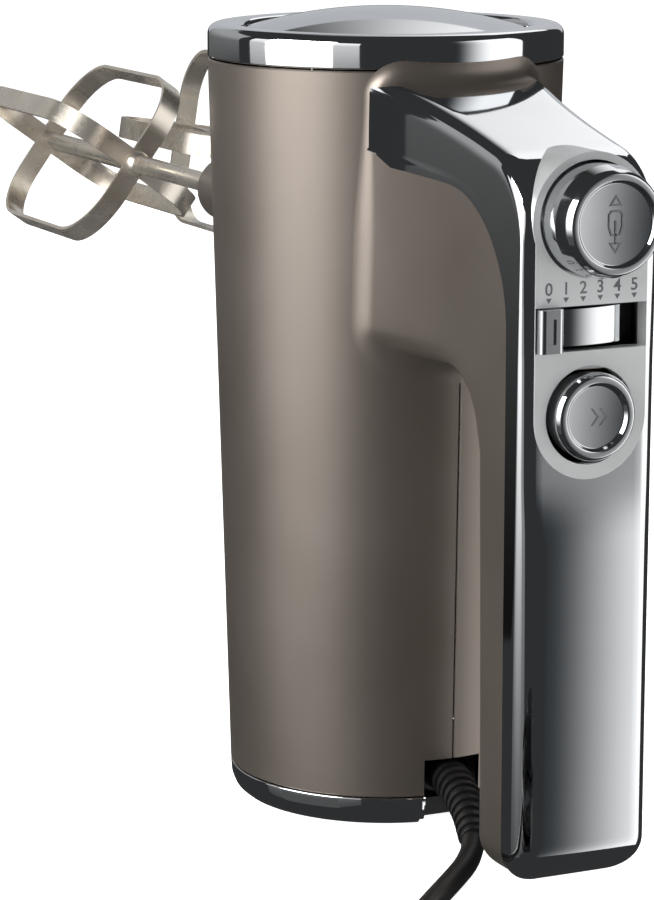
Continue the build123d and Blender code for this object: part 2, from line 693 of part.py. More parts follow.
def make_brush_gear():
    """Brush holders and the carbon brushes in them, on the Y axis of the commutator."""
    holders = []
    brushes = []
    brush_z = COMMUTATOR_Z + 6
    for side in (-1, 1):
        low = COMMUTATOR_R + 2.5
        span = sorted((side * low, side * (low + 12)))
        holder = block(-5, 5, span[0], span[1], brush_z - 4.5, brush_z + 4.5)
        bore = block(-3.1, 3.1, -40, 40, brush_z - 2.6, brush_z + 2.6)
        foot = block(-5, 5, span[0], span[1], BRACKET_Z + 4, brush_z - 4.4)
        holders.append(holder - bore + foot)
        span = sorted((side * (COMMUTATOR_R + 0.3), side * (low + 9)))
        brushes.append(block(-3, 3, span[0], span[1], brush_z - 2.5, brush_z + 2.5))
    return Compound(children=holders), Compound(children=brushes)


# ---------------------------------------------------------------- beaters
def beater_loop():
    """One flat strip bent into a long rounded loop in the plane X-Y of the beater."""
    outer = rounded_polygon(
        [(-BEATER_OUTER_R, BEATER_ROOT_Y), (BEATER_OUTER_R, BEATER_ROOT_Y),
         (BEATER_OUTER_R, BEATER_TIP_Y), (-BEATER_OUTER_R, BEATER_TIP_Y)],
        [LOOP_ROUND] * 4,
    )
    inner_r = BEATER_OUTER_R - STRIP_THICK
    inner = rounded_polygon(
        [(-inner_r, BEATER_ROOT_Y + STRIP_THICK), (inner_r, BEATER_ROOT_Y + STRIP_THICK),
         (inner_r, BEATER_TIP_Y - STRIP_THICK), (-inner_r, BEATER_TIP_Y - STRIP_THICK)],
        [LOOP_ROUND - STRIP_THICK] * 4,
    )
    return extrude(outer - inner, STRIP_WIDTH / 2, both=True)


def make_beater(side):
    """Shaft with its bead, and two crossing strip loops, as two sub-parts."""
    turn = BEATER_TURN if side < 0 else 45 - BEATER_TURN
    place = Pos(side * SPINDLE_X, 0, SPINDLE_Z)
    shaft = drum(SHANK_R, SHANK_END_Y, BEATER_TIP_Y - 0.2)
    bead = Pos(0, BEATER_ROOT_Y - 0.6, 0) * Sphere(BEAD_R)
    shaft += bead
    loops = None
    for quarter in (0, 90):
        loop = Rot(0, -(turn + quarter), 0) * beater_loop()
        loops = loop if loops is None else loops + loop
    loops -= shaft
    return place * shaft, place * loops


# ---------------------------------------------------------------- wiring and cord
STRAIN_POINTS = [(0, -29, 11.5), (0, -40, 11.2), (-4, -56, 9.0), (-9.5, -70, 5.6)]
CORD_POINTS = [
    (-9.5, -70, 5.6), (-15.5, -78.6, 3.4), (-26.5, -90, 2.9), (-36, -100, 2.8),
    (-45, -110, 2.8), (-55, -123, 2.8), (-63.5, -137.5, 2.8), (-69, -150, 2.8),
]


def bent_path(points):
    """Straight runs joined by arcs as large as the runs allow; prints the radii."""
    radii = []
    for before, here, after in zip(points, points[1:], points[2:]):
        run_in = Vector(*here) - Vector(*before)
        run_out = Vector(*after) - Vector(*here)
        half_turn = radians(run_in.get_angle(run_out)) / 2
        radii.append(0.45 * min(run_in.length, run_out.length) / tan(half_turn))
    print("bend radii", [round(r, 1) for r in radii])
    return FilletPolyline(*points, radius=radii)


def make_strain_relief():
    """Tapered ribbed sleeve from the notch down to the floor."""
    path = bent_path(STRAIN_POINTS)
    start = Plane(origin=path @ 0, z_dir=path % 0)
    end = Plane(origin=path @ 1, z_dir=path % 1)
    core = sweep([start * Circle(4.4), end * Circle(CORD_D / 2 + 0.5)], path=path, multisection=True)
    for i in range(STRAIN_RIBS):
        along = 0.25 + 0.68 * i / (STRAIN_RIBS - 1)
        radius = 5.4 - 1.6 * along
        rib_plane = Plane(origin=path @ along, z_dir=path % along)
        rib = extrude(rib_plane * Circle(radius), 0.9, both=True)
        core += rib
    root = Plane(origin=path @ 0, z_dir=path % 0)
    core += extrude(root * Circle(5.3), 2)
    return core


def make_cord():
    """The lead from the strain relief to the coil."""
    path = bent_path(CORD_POINTS)
    cord = sweep(Plane(origin=path @ 0, z_dir=path % 0) * Circle(CORD_D / 2), path=path)
    expected = pi * (CORD_D / 2) ** 2 * path.length
    print(f"cord length {path.length:.1f} mm, volume ratio {cord.volume / expected:.3f}")
    return (cord - make_cord_coil()).solids().sort_by(SortBy.VOLUME)[-1]


def make_cord_coil():
    """Outer shape of the wound coil."""
    half = COIL_TURNS_WIDE * CORD_D / 2
    height = COIL_TURNS_HIGH * CORD_D
    x, y = COIL_CENTRE
    ring = pole(COIL_MID_R + half, 0, height, x, y) - pole(COIL_MID_R - half, -1, 40, x, y)
    return fillet(ring.edges(), 1.6)


def make_coil_tie():
    """Strap wrapped round the coil's section."""
    half = COIL_TURNS_WIDE * CORD_D / 2
    height = COIL_TURNS_HIGH * CORD_D
    x, y = COIL_CENTRE
    strap = block(-3, 3, -COIL_MID_R - half - 1.0, -COIL_MID_R + half + 1.0, 0, height + 1.0)
    strap = Pos(x, y, 0) * Rot(0, 0, COIL_TIE_TURN) * strap - make_cord_coil() - pole(COIL_MID_R, -1, height, x, y)
    return strap.solids().sort_by(SortBy.VOLUME)[-1]


def make_plug():
    """Two-pin plug body lying flat on the coil, and its two pins."""
    body = rounded_polygon(
        [(-8, -18), (8, -18), (13.1, 17), (-13.1, 17)], [5, 5, 3, 3]
    )
    solid = extrude(body, PLUG_THICK)
    solid = fillet(solid.edges().group_by(Axis.Z)[-1], 2.5)
    collar = Pos(0, -21, PLUG_THICK / 2) * Rot(90, 0, 0) * Cylinder(4.2, 12)
    solid += collar
    pins = []
    for side in (-1, 1):
        pin = Pos(side * PIN_SPACING / 2, 17 + PIN_LENGTH / 2, PLUG_THICK / 2)
        pins.append(pin * Rot(90, 0, 0) * Cylinder(PIN_R, PIN_LENGTH))
    x, y = COIL_CENTRE
    base = COIL_TURNS_HIGH * CORD_D + 0.05
    place = Pos(x + PLUG_SHIFT[0], y + PLUG_SHIFT[1], base) * Rot(0, 0, PLUG_TURN)
    return place * solid, place * Compound(children=pins)


# ---------------------------------------------------------------- electrics
def make_board():
    """Circuit board behind the controls."""
    return block(-13.5, 13.5, BOARD_Y, BOARD_Y + 1.6, 96, 147)


def make_control_frame():
    """Moulded frame behind the plate that guides the eject stem and holds the board."""
    back = block(-14.2, 14.2, BOARD_Y + 1.8, BOARD_Y + 3.6, 94, 172)
    back -= drum(4.0 + RUN_FIT, -120, -60, 0, EJECT_Z)
    return back


def wire(points, radius):
    """Insulated wire along straight runs and arcs."""
    path = FilletPolyline(*points, radius=6)
    return sweep(Plane(origin=path @ 0, z_dir=path % 0) * Circle(radius), path=path)


def make_internal_leads():
    """Two wires from the cord clamp up through the neck to the board."""
    leads = []
    for side in (-1, 1):
        x = side * 6.0
        points = [
            (x, -26, 24), (x, -36.4, 40), (x, -38, 126), (x, -52, 138),
            (x, BOARD_Y + 3.7, 138),
        ]
        leads.append(wire(points, 0.9))
    return Compound(children=leads)


# ---------------------------------------------------------------- write everything
def main():
    """Build and write each sub-part."""
    for name, half in make_housings().items():
        save(name, half)
    save("handle_cover", make_handle_cover())
    save("control_plate", make_control_plate())
    save("nose_ring", make_nose_ring())
    save("nose_dome", make_nose_dome())
    save("heel_ring", make_heel_ring())
    save("heel_plate", make_heel_plate())
    save("control_frame", make_control_frame())

    save("eject_button", make_eject_button())
    save("eject_fork", make_eject_fork())
    eject_room = BOARD_Y + 1.8 - EJECT_SPRING_Y - 1.2
    save("eject_spring", along_y(coil_spring(6.5, 0.5, eject_room / 6, 6),
                                 EJECT_SPRING_Y + 0.6, 0, EJECT_Z))
    save("turbo_button", make_turbo_button())
    turbo_room = BOARD_Y - TURBO_SPRING_Y - 0.9
    save("turbo_spring", along_y(coil_spring(7.0, 0.35, turbo_room / 4, 4),
                                 TURBO_SPRING_Y + 0.45, 0, TURBO_Z))
    save("turbo_switch", block(-4, 4, TURBO_STEM_END_Y + TURBO_TRAVEL + 0.3, BOARD_Y,
                               TURBO_Z - 3, TURBO_Z + 3))
    save("speed_knob", make_speed_knob())
    save("slider_carrier", block(KNOB_REST_X - 3.8, KNOB_REST_X + 3.8, CARRIER_Y, CARRIER_Y + 2.4,
                                 SLOT_Z - 5.4, SLOT_Z + 5.4))
    save("slider_band", make_slider_band())
    save("speed_switch", block(-15, 15, CARRIER_Y + 2.8, BOARD_Y, SLOT_Z - 6, SLOT_Z + 6))
    save("circuit_board", make_board())

    save("motor_shaft", pole(SHAFT_R, BRACKET_Z - 2, GEARBOX_HIGH_Z - 3.5))
    save("worm", make_worm())
    save("rotor_core", make_rotor_core())
    save("rotor_windings", make_rotor_windings())
    save("commutator", make_commutator())
    save("cooling_fan", make_fan())
    save("stator_core", make_stator_core())
    save("field_coils", make_field_coils())
    holders, brushes = make_brush_gear()
    save("brush_holders", holders)
    save("carbon_brushes", brushes)
    save("lower_bracket", make_lower_bracket())
    save("lower_bearing", make_bearing(BRACKET_Z, BRACKET_Z + 4))
    save("middle_bearing", make_bearing(GEARBOX_LOW_Z, GEARBOX_LOW_Z + 4))
    save("nose_bearing", make_bearing(GEARBOX_HIGH_Z - 8, GEARBOX_HIGH_Z - 3))
    save("gearbox_frame", make_gearbox_frame())
    save("spindle_bushes", make_spindle_bushes())

    for label, side in (("left", -1), ("right", 1)):
        save(f"{label}_spindle", make_spindle(side))
        save(f"{label}_worm_wheel", make_worm_wheel(side))
        shaft, loops = make_beater(side)
        save(f"{label}_beater_shaft", shaft)
        save(f"{label}_beater_loops", loops)

    heel_screw = screw(3, BRACKET_Z - 2, 5.4, 1.6)
    heel_screws = [Pos(x, y, HEEL_SCREW_SEAT_Z) * heel_screw for x, y in HEEL_SCREWS]
    save("heel_screws", Compound(children=heel_screws))
    save("internal_leads", make_internal_leads())
    save("strain_relief", make_strain_relief())
    save("supply_cord", make_cord())
    save("cord_coil", make_cord_coil())
    save("coil_tie", make_coil_tie())
    plug, pins = make_plug()
    save("plug_body", plug)
    save("plug_pins", pins)


if __name__ == "__main__":
    main()
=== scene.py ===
# %% [markdown]
# # A hand mixer on its heel
# This lesson dresses the CAD frame of a hand mixer in its visible surfaces: a painted
# tapered body that flows into a D-shaped handle, mirror-chrome rings and hood, a satin
# control plate with two buttons and a slider, steel beaters and a rubber cord.
#
# The frame is loaded first. Its bounds are kept, so that the last cell can print them
# beside the bounds of the finished model.

from math import atan2, cos, hypot, pi, radians, sin, sqrt

import bmesh
import bpy
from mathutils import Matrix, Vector


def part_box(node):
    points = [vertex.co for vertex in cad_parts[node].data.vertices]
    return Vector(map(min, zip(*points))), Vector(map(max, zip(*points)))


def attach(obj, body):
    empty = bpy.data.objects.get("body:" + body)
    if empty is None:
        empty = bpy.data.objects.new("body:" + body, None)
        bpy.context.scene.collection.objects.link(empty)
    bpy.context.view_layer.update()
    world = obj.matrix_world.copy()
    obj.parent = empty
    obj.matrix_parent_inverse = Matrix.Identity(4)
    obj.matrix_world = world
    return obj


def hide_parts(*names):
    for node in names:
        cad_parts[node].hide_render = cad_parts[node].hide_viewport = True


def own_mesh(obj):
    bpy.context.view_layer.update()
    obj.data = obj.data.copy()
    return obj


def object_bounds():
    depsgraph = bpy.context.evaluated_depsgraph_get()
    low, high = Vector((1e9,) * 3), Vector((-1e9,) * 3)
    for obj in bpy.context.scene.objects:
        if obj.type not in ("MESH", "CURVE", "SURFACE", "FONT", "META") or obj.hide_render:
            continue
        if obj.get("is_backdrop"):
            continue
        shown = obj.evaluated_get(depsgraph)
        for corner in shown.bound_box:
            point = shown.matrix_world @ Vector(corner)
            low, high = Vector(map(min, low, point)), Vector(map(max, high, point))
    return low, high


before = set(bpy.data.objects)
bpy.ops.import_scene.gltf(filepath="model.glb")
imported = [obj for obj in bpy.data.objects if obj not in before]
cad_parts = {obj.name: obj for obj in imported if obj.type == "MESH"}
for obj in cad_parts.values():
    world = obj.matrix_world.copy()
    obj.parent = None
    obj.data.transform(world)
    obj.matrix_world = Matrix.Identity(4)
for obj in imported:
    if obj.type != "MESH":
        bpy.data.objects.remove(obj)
cad_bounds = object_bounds()
scene = bpy.context.scene
print("frame nodes", len(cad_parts))

# %% [markdown]
# Lengths below are in millimetres, as they are in the CAD; `MM` turns them into metres.
# The body is a straight taper between the seams of its two chrome rings, so one line
# gives its radius at any height. An even S-curve is kept beside it, for every place
# where one size has to run into another without a step.

# %% Sizes
MM = 0.001
HEEL_SEAM_Z, NOSE_SEAM_Z = 7.6, 188.6
HEEL_SEAM_R, NOSE_SEAM_R = 39.6, 44.5


def body_radius(z):
    """Outer radius of the tapered body at height z."""
    rise = (z - HEEL_SEAM_Z) / (NOSE_SEAM_Z - HEEL_SEAM_Z)
    return HEEL_SEAM_R + (NOSE_SEAM_R - HEEL_SEAM_R) * rise


def smooth(low, high, value):
    """0 below low, 1 above high, and an even S-curve between them."""
    t = min(1, max(0, (value - low) / (high - low)))
    return t * t * (3 - 2 * t)


print("body radius at the seams", body_radius(HEEL_SEAM_Z), body_radius(NOSE_SEAM_Z), "mm")

# %% [markdown]
# ## Materials
# Each finish is one node material. Colours are written as sRGB hex and made linear by
# one function, because the shader works with linear light.

# %% Colour helper
def linear(hex_colour):
    """Linear RGBA of an sRGB hex colour."""
    parts = [int(hex_colour[i:i + 2], 16) / 255 for i in (0, 2, 4)]
    return [c / 12.92 if c <= 0.04045 else ((c + 0.055) / 1.055) ** 2.4 for c in parts] + [1]


print("linear value of mid grey", round(linear("808080")[0], 3))


# %% [markdown]
# One small function adds a node of any kind and sets or links its inputs by name. A
# second one starts a finish: it makes the shader, and scales the object coordinates to
# millimetres, so that the size of a pattern is a real size.

# %% Node helpers
def add_node(tree, kind, **inputs):
    """A node of this kind, with its named inputs given values or linked to sockets."""
    node = tree.nodes.new(kind)
    for name, value in inputs.items():
        socket = node.inputs[name.replace("_", " ")]
        if isinstance(value, bpy.types.NodeSocket):
            tree.links.new(value, socket)
        else:
            socket.default_value = value
    return node


def new_finish(name):
    """An empty node material with its shader, and object coordinates in millimetres."""
    material = bpy.data.materials.new(name)
    material.use_nodes = True
    tree = material.node_tree
    shader = tree.nodes["Principled BSDF"]
    place = tree.nodes.new("ShaderNodeTexCoord")
    scaled = tree.nodes.new("ShaderNodeVectorMath")
    scaled.operation = "SCALE"
    scaled.inputs["Scale"].default_value = 1000
    tree.links.new(place.outputs["Object"], scaled.inputs[0])
    return material, tree, shader, scaled.outputs[0]


# %% [markdown]
# No real surface is perfectly even: handling, plating and moulding leave slow changes
# in shade and gloss, and a fine grain. One finish function gives all three. A cloud
# noise of `cloud_mm` drives shade and roughness, and a finer one of `grain_mm` drives
# the relief. Grain below 0.2 mm would not show, so it is drawn at 0.2 mm or coarser.

# %% A finish that is not quite even
RELIEF_DEPTH = 0.00002


def worn_finish(name, shades, metal, rough, cloud_mm, bump, grain_mm=0.4, stretch=(1, 1, 1)):
    """A surface whose colour and roughness wander a little, with a fine relief."""
    material, tree, shader, place = new_finish(name)
    stretched = tree.nodes.new("ShaderNodeVectorMath")
    stretched.operation = "MULTIPLY"
    tree.links.new(place, stretched.inputs[0])
    stretched.inputs[1].default_value = stretch
    where = stretched.outputs[0]
    cloud = add_node(tree, "ShaderNodeTexNoise", Vector=where, Scale=1 / cloud_mm, Detail=4)
    tint = add_node(tree, "ShaderNodeValToRGB", Fac=cloud.outputs["Fac"])
    for stop, position, shade in zip(tint.color_ramp.elements, (0.3, 0.7), shades):
        stop.position = position
        stop.color = linear(shade)
    tree.links.new(tint.outputs["Color"], shader.inputs["Base Color"])
    gloss = add_node(tree, "ShaderNodeMapRange", Value=cloud.outputs["Fac"],
                     From_Min=0.3, From_Max=0.7, To_Min=rough[0], To_Max=rough[1])
    tree.links.new(gloss.outputs["Result"], shader.inputs["Roughness"])
    grain = add_node(tree, "ShaderNodeTexNoise", Vector=where, Scale=1 / grain_mm, Detail=2)
    relief = add_node(tree, "ShaderNodeBump", Height=grain.outputs["Fac"],
                      Strength=bump, Distance=RELIEF_DEPTH)
    tree.links.new(relief.outputs["Normal"], shader.inputs["Normal"])
    shader.inputs["Metallic"].default_value = metal
    return material


# %% [markdown]
# The body is a moulded shell sprayed with metallic lacquer. Its aluminium flakes lie
# under the colour, so the eye gets a broad satin sheen and a warm grey-brown, instead
# of the sharp highlight of plain paint. It is nearly metallic, with a roughness near
# 0.4. The flakes are too fine to show and are drawn 0.25 mm wide.

# %% Paint
PAINT = worn_finish("champagne_lacquer", ("8a8178", "908780"), 0.9, (0.37, 0.41), 40, 0.12, 0.25)
print("paint", PAINT.name)

# %% [markdown]
# Three platings are seen. The rings and the cover are bright chromium over polished
# nickel: almost white, and smooth enough to mirror the room. The control plate is
# brushed before it is plated, so it scatters light into a soft grey, with grain that
# runs across it. The buttons are polished on a softer wheel and mirror a little less.

# %% Platings
CHROME = worn_finish("mirror_chrome_plating", ("e2e4e6", "e8eaec"), 1.0, (0.035, 0.055), 30, 0.02, 2.0)
SATIN = worn_finish("satin_chrome_plate", ("cccece", "d6d8d8"), 0.55, (0.3, 0.36), 12, 0.1, 0.2,
                    (0.2, 1, 1))
BUTTON = worn_finish("polished_button_chrome", ("d9dbdd", "e2e4e6"), 1.0, (0.07, 0.10), 20, 0.03, 1.2)
print("platings", CHROME.name, SATIN.name, BUTTON.name)

# %% [markdown]
# The beaters are stainless strip, drawn through a die: satin, with a slightly warm
# tint. The cord is moulded rubber and the slider's knob moulded plastic: both are near
# black, but the rubber is more matt. The scale is printed in a flat grey ink.

# %% Steel, rubber, plastic and ink
BEATER = worn_finish("drawn_stainless_strip", ("d9d1c4", "e7dfd3"), 0.92, (0.22, 0.32), 9, 0.12, 0.3)
RUBBER = worn_finish("moulded_black_rubber", ("0c0c0d", "141415"), 0.0, (0.42, 0.52), 6, 0.3, 0.5)
BLACK = worn_finish("black_moulded_plastic", ("101112", "17181a"), 0.0, (0.36, 0.44), 8, 0.3, 0.4)
INK = worn_finish("grey_printed_ink", ("55585b", "5f6265"), 0.0, (0.5, 0.6), 3, 0.1, 0.3)
print("other finishes", BEATER.name, RUBBER.name, BLACK.name, INK.name)

# %% [markdown]
# Parts inside the casing keep their CAD shapes. Each gets the finish of its own
# material: clean metals shine, sintered bronze and carbon are dull and grainy, and the
# laminations and windings are stretched along their layers, so that they look stacked.

# %% Finishes of the parts inside
INSIDE = {
    "champagne_paint": PAINT,
    "mirror_chrome": CHROME,
    "satin_chrome": SATIN,
    "button_chrome": BUTTON,
    "black_plastic": BLACK,
    "beater_steel": BEATER,
    "cord_rubber": RUBBER,
    "white_nylon": worn_finish("moulded_white_nylon", ("dcdad2", "e6e4dc"), 0, (0.4, 0.5), 6, 0.2),
    "spring_steel": worn_finish("wound_spring_steel", ("8a8c8e", "9a9c9e"), 1, (0.2, 0.3), 3, 0.2),
    "bright_steel": worn_finish("ground_bright_steel", ("b8babc", "c6c8ca"), 1, (0.2, 0.3), 4, 0.2),
    "lamination_steel": worn_finish("stacked_lamination_steel", ("6a6c6f", "7c7e80"), 1, (0.35, 0.5),
                                    2, 0.6, 0.5, (0.1, 0.1, 1)),
    "copper_wire": worn_finish("enamelled_copper_wire", ("9c4f22", "b8632e"), 1, (0.25, 0.35),
                               1, 0.6, 0.4, (0.2, 0.2, 1)),
    "brass_holder": worn_finish("stamped_brass", ("b0903e", "c2a350"), 1, (0.25, 0.35), 4, 0.2),
    "sintered_bronze": worn_finish("sintered_bronze", ("8c6a3c", "9c7a4a"), 1, (0.5, 0.6), 1, 0.6),
    "carbon": worn_finish("pressed_carbon", ("1a1a1b", "242425"), 0, (0.6, 0.7), 1, 0.4),
    "board_green": worn_finish("green_circuit_board", ("0f4a2c", "165a36"), 0, (0.35, 0.45), 5, 0.2),
    "wire_insulation": worn_finish("wire_insulation", ("2a3f8a", "35509c"), 0, (0.4, 0.5), 3, 0.2),
}


def dress(node, material):
    """Puts one material in every slot of a CAD node."""
    mesh = node.data
    if not mesh.materials:
        mesh.materials.append(material)
    for index in range(len(mesh.materials)):
        mesh.materials[index] = material


dressed = {}
for node_name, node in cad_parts.items():
    slot_name = node.data.materials[0].name.split(".")[0] if node.data.materials else ""
    dress(node, INSIDE.get(slot_name, BLACK))
    dressed[slot_name] = dressed.get(slot_name, 0) + 1
print("CAD nodes by finish", dressed)


# %% [markdown]
# ## Building meshes
# Most pieces are grids of points: rows along the piece, columns round it. `grid_faces`
# joins neighbouring rows with quads, `ring_faces` also joins the last row to the first,
# and `new_piece` turns points and faces into a clean mesh with one material.

# %% Points to mesh
def new_piece(name, verts, faces, material, flat=False):
    """A mesh object from points in millimetres."""
    mesh = bpy.data.meshes.new(name)
    mesh.from_pydata([(x * MM, y * MM, z * MM) for x, y, z in verts], [], faces)
    mesh.materials.append(material)
    piece = bpy.data.objects.new(name, mesh)
    scene.collection.objects.link(piece)
    tidy = bmesh.new()
    tidy.from_mesh(mesh)
    bmesh.ops.remove_doubles(tidy, verts=tidy.verts, dist=0.000002)
    bmesh.ops.dissolve_degenerate(tidy, edges=tidy.edges, dist=0.000001)
    bmesh.ops.recalc_face_normals(tidy, faces=tidy.faces)
    tidy.to_mesh(mesh)
    tidy.free()
    mesh.shade_flat() if flat else mesh.shade_smooth()
    return piece


def grid_faces(rows, columns, start=0, close_rows=False):
    """Quads between neighbouring rows of a grid of points."""
    faces = []
    for i in range(rows - 1):
        for j in range(columns if close_rows else columns - 1):
            k = (j + 1) % columns
            a, b = start + i * columns, start + (i + 1) * columns
            faces.append((a + j, a + k, b + k, b + j))
    return faces


def ring_faces(rows, columns):
    """Faces of a grid whose last row joins its first, as on a turned shape."""
    last = (rows - 1) * columns
    closing = [(last + j, last + j + 1, j + 1, j) for j in range(columns - 1)]
    return grid_faces(rows, columns) + closing


print("faces of a closed ring of 4 rows and 3 columns", len(ring_faces(4, 3)))


# %% [markdown]
# Rings, caps and the dome were turned or pressed as round parts, so each is a profile
# turned round an axis. The profile is a polyline, and its corners get real radii: a
# mirror finish shows an edge mainly by the light in its small round.

# %% Profiles and turned pieces
def rounded_profile(points, radii, steps=6):
    """Polyline with each inner corner swapped for an arc of its own radius."""
    line = [points[0]]
    for before, here, after, radius in zip(points, points[1:], points[2:], radii[1:]):
        here = Vector(here)
        into, out = (Vector(before) - here), (Vector(after) - here)
        half = into.angle(out) / 2
        if radius <= 0 or half > 1.56:
            line.append(tuple(here))
            continue
        reach = min(radius / (sin(half) / cos(half)), 0.49 * into.length, 0.49 * out.length)
        radius = reach * sin(half) / cos(half)
        centre = here + (into.normalized() + out.normalized()).normalized() * radius / sin(half)
        first, last = here + into.normalized() * reach, here + out.normalized() * reach
        a, b = first - centre, last - centre
        for i in range(steps + 1):
            t = i / steps
            turn = a.angle(b)
            mixed = (a * sin((1 - t) * turn) + b * sin(t * turn)) / sin(turn)
            line.append(tuple(centre + mixed))
    line.append(points[-1])
    return line


def turned_piece(name, profile, material, centre=(0, 0, 0), axis="Z", steps=128):
    """A profile of (radius, height) turned round Z, or round Y for pieces facing -Y."""
    verts = []
    for i in range(steps):
        angle = 2 * pi * i / steps
        for r, h in profile:
            x, y, z = r * cos(angle), r * sin(angle), h
            if axis == "Y":
                x, y, z = x, h, y
            verts.append((centre[0] + x, centre[1] + y, centre[2] + z))
    return new_piece(name, verts, ring_faces(steps, len(profile)), material)


print("points of a rounded square corner", len(rounded_profile([(0, 0), (9, 0), (9, 9)], [0, 2, 0])))


# %% [markdown]
# Each piece is finished in the same three ways: sharp edges are kept crisp, thin shells
# get a wall, and the piece is tied to its CAD body and put in place of its CAD nodes.

# %% Finishing a piece
def crease(piece, angle=35):
    """Smooth shading, with edges sharper than the angle left crisp."""
    mesh = piece.data
    marked = bmesh.new()
    marked.from_mesh(mesh)
    for edge in marked.edges:
        if len(edge.link_faces) == 2 and edge.calc_face_angle() > radians(angle):
            edge.smooth = False
    marked.to_mesh(mesh)
    marked.free()
    return piece


def thicken(piece, depth):
    """Gives a thin shell its wall, inwards, in millimetres."""
    wall = piece.modifiers.new("wall", "SOLIDIFY")
    wall.thickness, wall.offset = depth * MM, -1


def place_piece(piece, body, slot_name, *nodes):
    """Puts a finished piece on its CAD body, and in place of CAD nodes; slot_name is not used."""
    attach(piece, body)
    if nodes:
        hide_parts(*nodes)
    return piece


# %% [markdown]
# ## The handle's sections
# The handle is a loop: an outer line over the hood and down the grip, and an inner line
# round the finger gap. A row of sections fills the loop. Each runs from a point on the
# inner line to its partner on the outer line, and is a rectangle with rounded corners.
# The neck flares in plan where it meets the body.

# %% Lines of the handle
GRIP_FRONT_Y, GRIP_BACK_Y = -106.3, -82.3
GRIP_HALF_WIDTH, NECK_FLARE = 17.5, 0.00278
GRIP_BOTTOM_Z, FOOT_Z = 4.0, 20.0
HOOD_TOP_Z, HOOD_TOP_Y, HOOD_SLOPE = 182.3, -60.0, 0.2345
HOOD_BEND_R = 18.0
ARCH_Z, ARCH_BEND_R = 121.0, 20.0
LINE_START_Y = -20
ARCH_FROM, ARCH_TO, LOOP_END = 0.6, 2.2, 3.0


def hood_top(y):
    """Height of the hood's top face at depth y."""
    return HOOD_TOP_Z + HOOD_SLOPE * (y - HOOD_TOP_Y)


def half_width(y):
    """Half the width of the handle at depth y: even along the grip, flared at the neck."""
    if y <= GRIP_BACK_Y:
        return GRIP_HALF_WIDTH
    t = y - GRIP_BACK_Y
    return GRIP_HALF_WIDTH + NECK_FLARE * t * t


BEND_ANGLE = pi / 2 - atan2(HOOD_SLOPE, 1)
BEND_CENTRE_Y = GRIP_FRONT_Y + HOOD_BEND_R
BEND_CENTRE_Z = hood_top(BEND_CENTRE_Y) - HOOD_BEND_R * sqrt(1 + HOOD_SLOPE ** 2)
ARCH_CENTRE = (GRIP_BACK_Y + ARCH_BEND_R, ARCH_Z - ARCH_BEND_R)


def outer_line(u):
    """Point (y, z) of the outer line; u is 0 in the body, 1 at the bend, 2 after it, 3 below."""
    if u <= 1:
        bend_start = BEND_CENTRE_Y - HOOD_BEND_R * cos(BEND_ANGLE)
        y = LINE_START_Y + u * (bend_start - LINE_START_Y)
        return y, hood_top(y)
    if u <= 2:
        a = BEND_ANGLE * (2 - u)
        return BEND_CENTRE_Y - HOOD_BEND_R * cos(a), BEND_CENTRE_Z + HOOD_BEND_R * sin(a)
    return GRIP_FRONT_Y, BEND_CENTRE_Z + (u - 2) * (FOOT_Z - BEND_CENTRE_Z)


def inner_line(u):
    """Point (y, z) of the inner line, paired with the outer line."""
    centre_y, centre_z = ARCH_CENTRE
    if u <= ARCH_FROM:
        return LINE_START_Y + u / ARCH_FROM * (centre_y - LINE_START_Y), ARCH_Z
    if u <= ARCH_TO:
        a = pi / 2 * (ARCH_TO - u) / (ARCH_TO - ARCH_FROM)
        return centre_y - ARCH_BEND_R * cos(a), centre_z + ARCH_BEND_R * sin(a)
    return GRIP_BACK_Y, centre_z + (u - ARCH_TO) / (LOOP_END - ARCH_TO) * (FOOT_Z - centre_z)


def end_inset(z, radius):
    """How far a side draws in where the bottom of the grip is rounded."""
    rise = z - GRIP_BOTTOM_Z
    if rise >= radius:
        return 0.0
    return radius - sqrt(max(0, radius ** 2 - (radius - rise) ** 2))


print("outer line ends at", outer_line(LOOP_END), "and inner line at", inner_line(LOOP_END))

# %% [markdown]
# `section_at` gives one point of a section. The columns go from the middle of the
# inner face, round the back corner, up the side and round the front corner to the
# middle of the outer face. A cover's section starts part of the way up the side. Near
# the bottom of the grip the section draws in on all sides, which rounds the foot.

# %% One point of a section
FRONT_ROUND, BACK_ROUND = 4.0, 6.0
FOOT_ROUNDS = (7, 10, 9)
FOOT_SHRINK = 0.6
BACK_FLAT, CORNER, SIDE, FRONT_FLAT = 6, 10, 18, 8
COLUMNS = BACK_FLAT + CORNER + SIDE + CORNER + FRONT_FLAT + 1


def side_fraction(column):
    """Which stretch of the section a column is on, and how far along it."""
    for stretch, count in enumerate((BACK_FLAT, CORNER, SIDE, CORNER, FRONT_FLAT)):
        if column <= count:
            return stretch, column / count
        column -= count
    return 4, 1.0


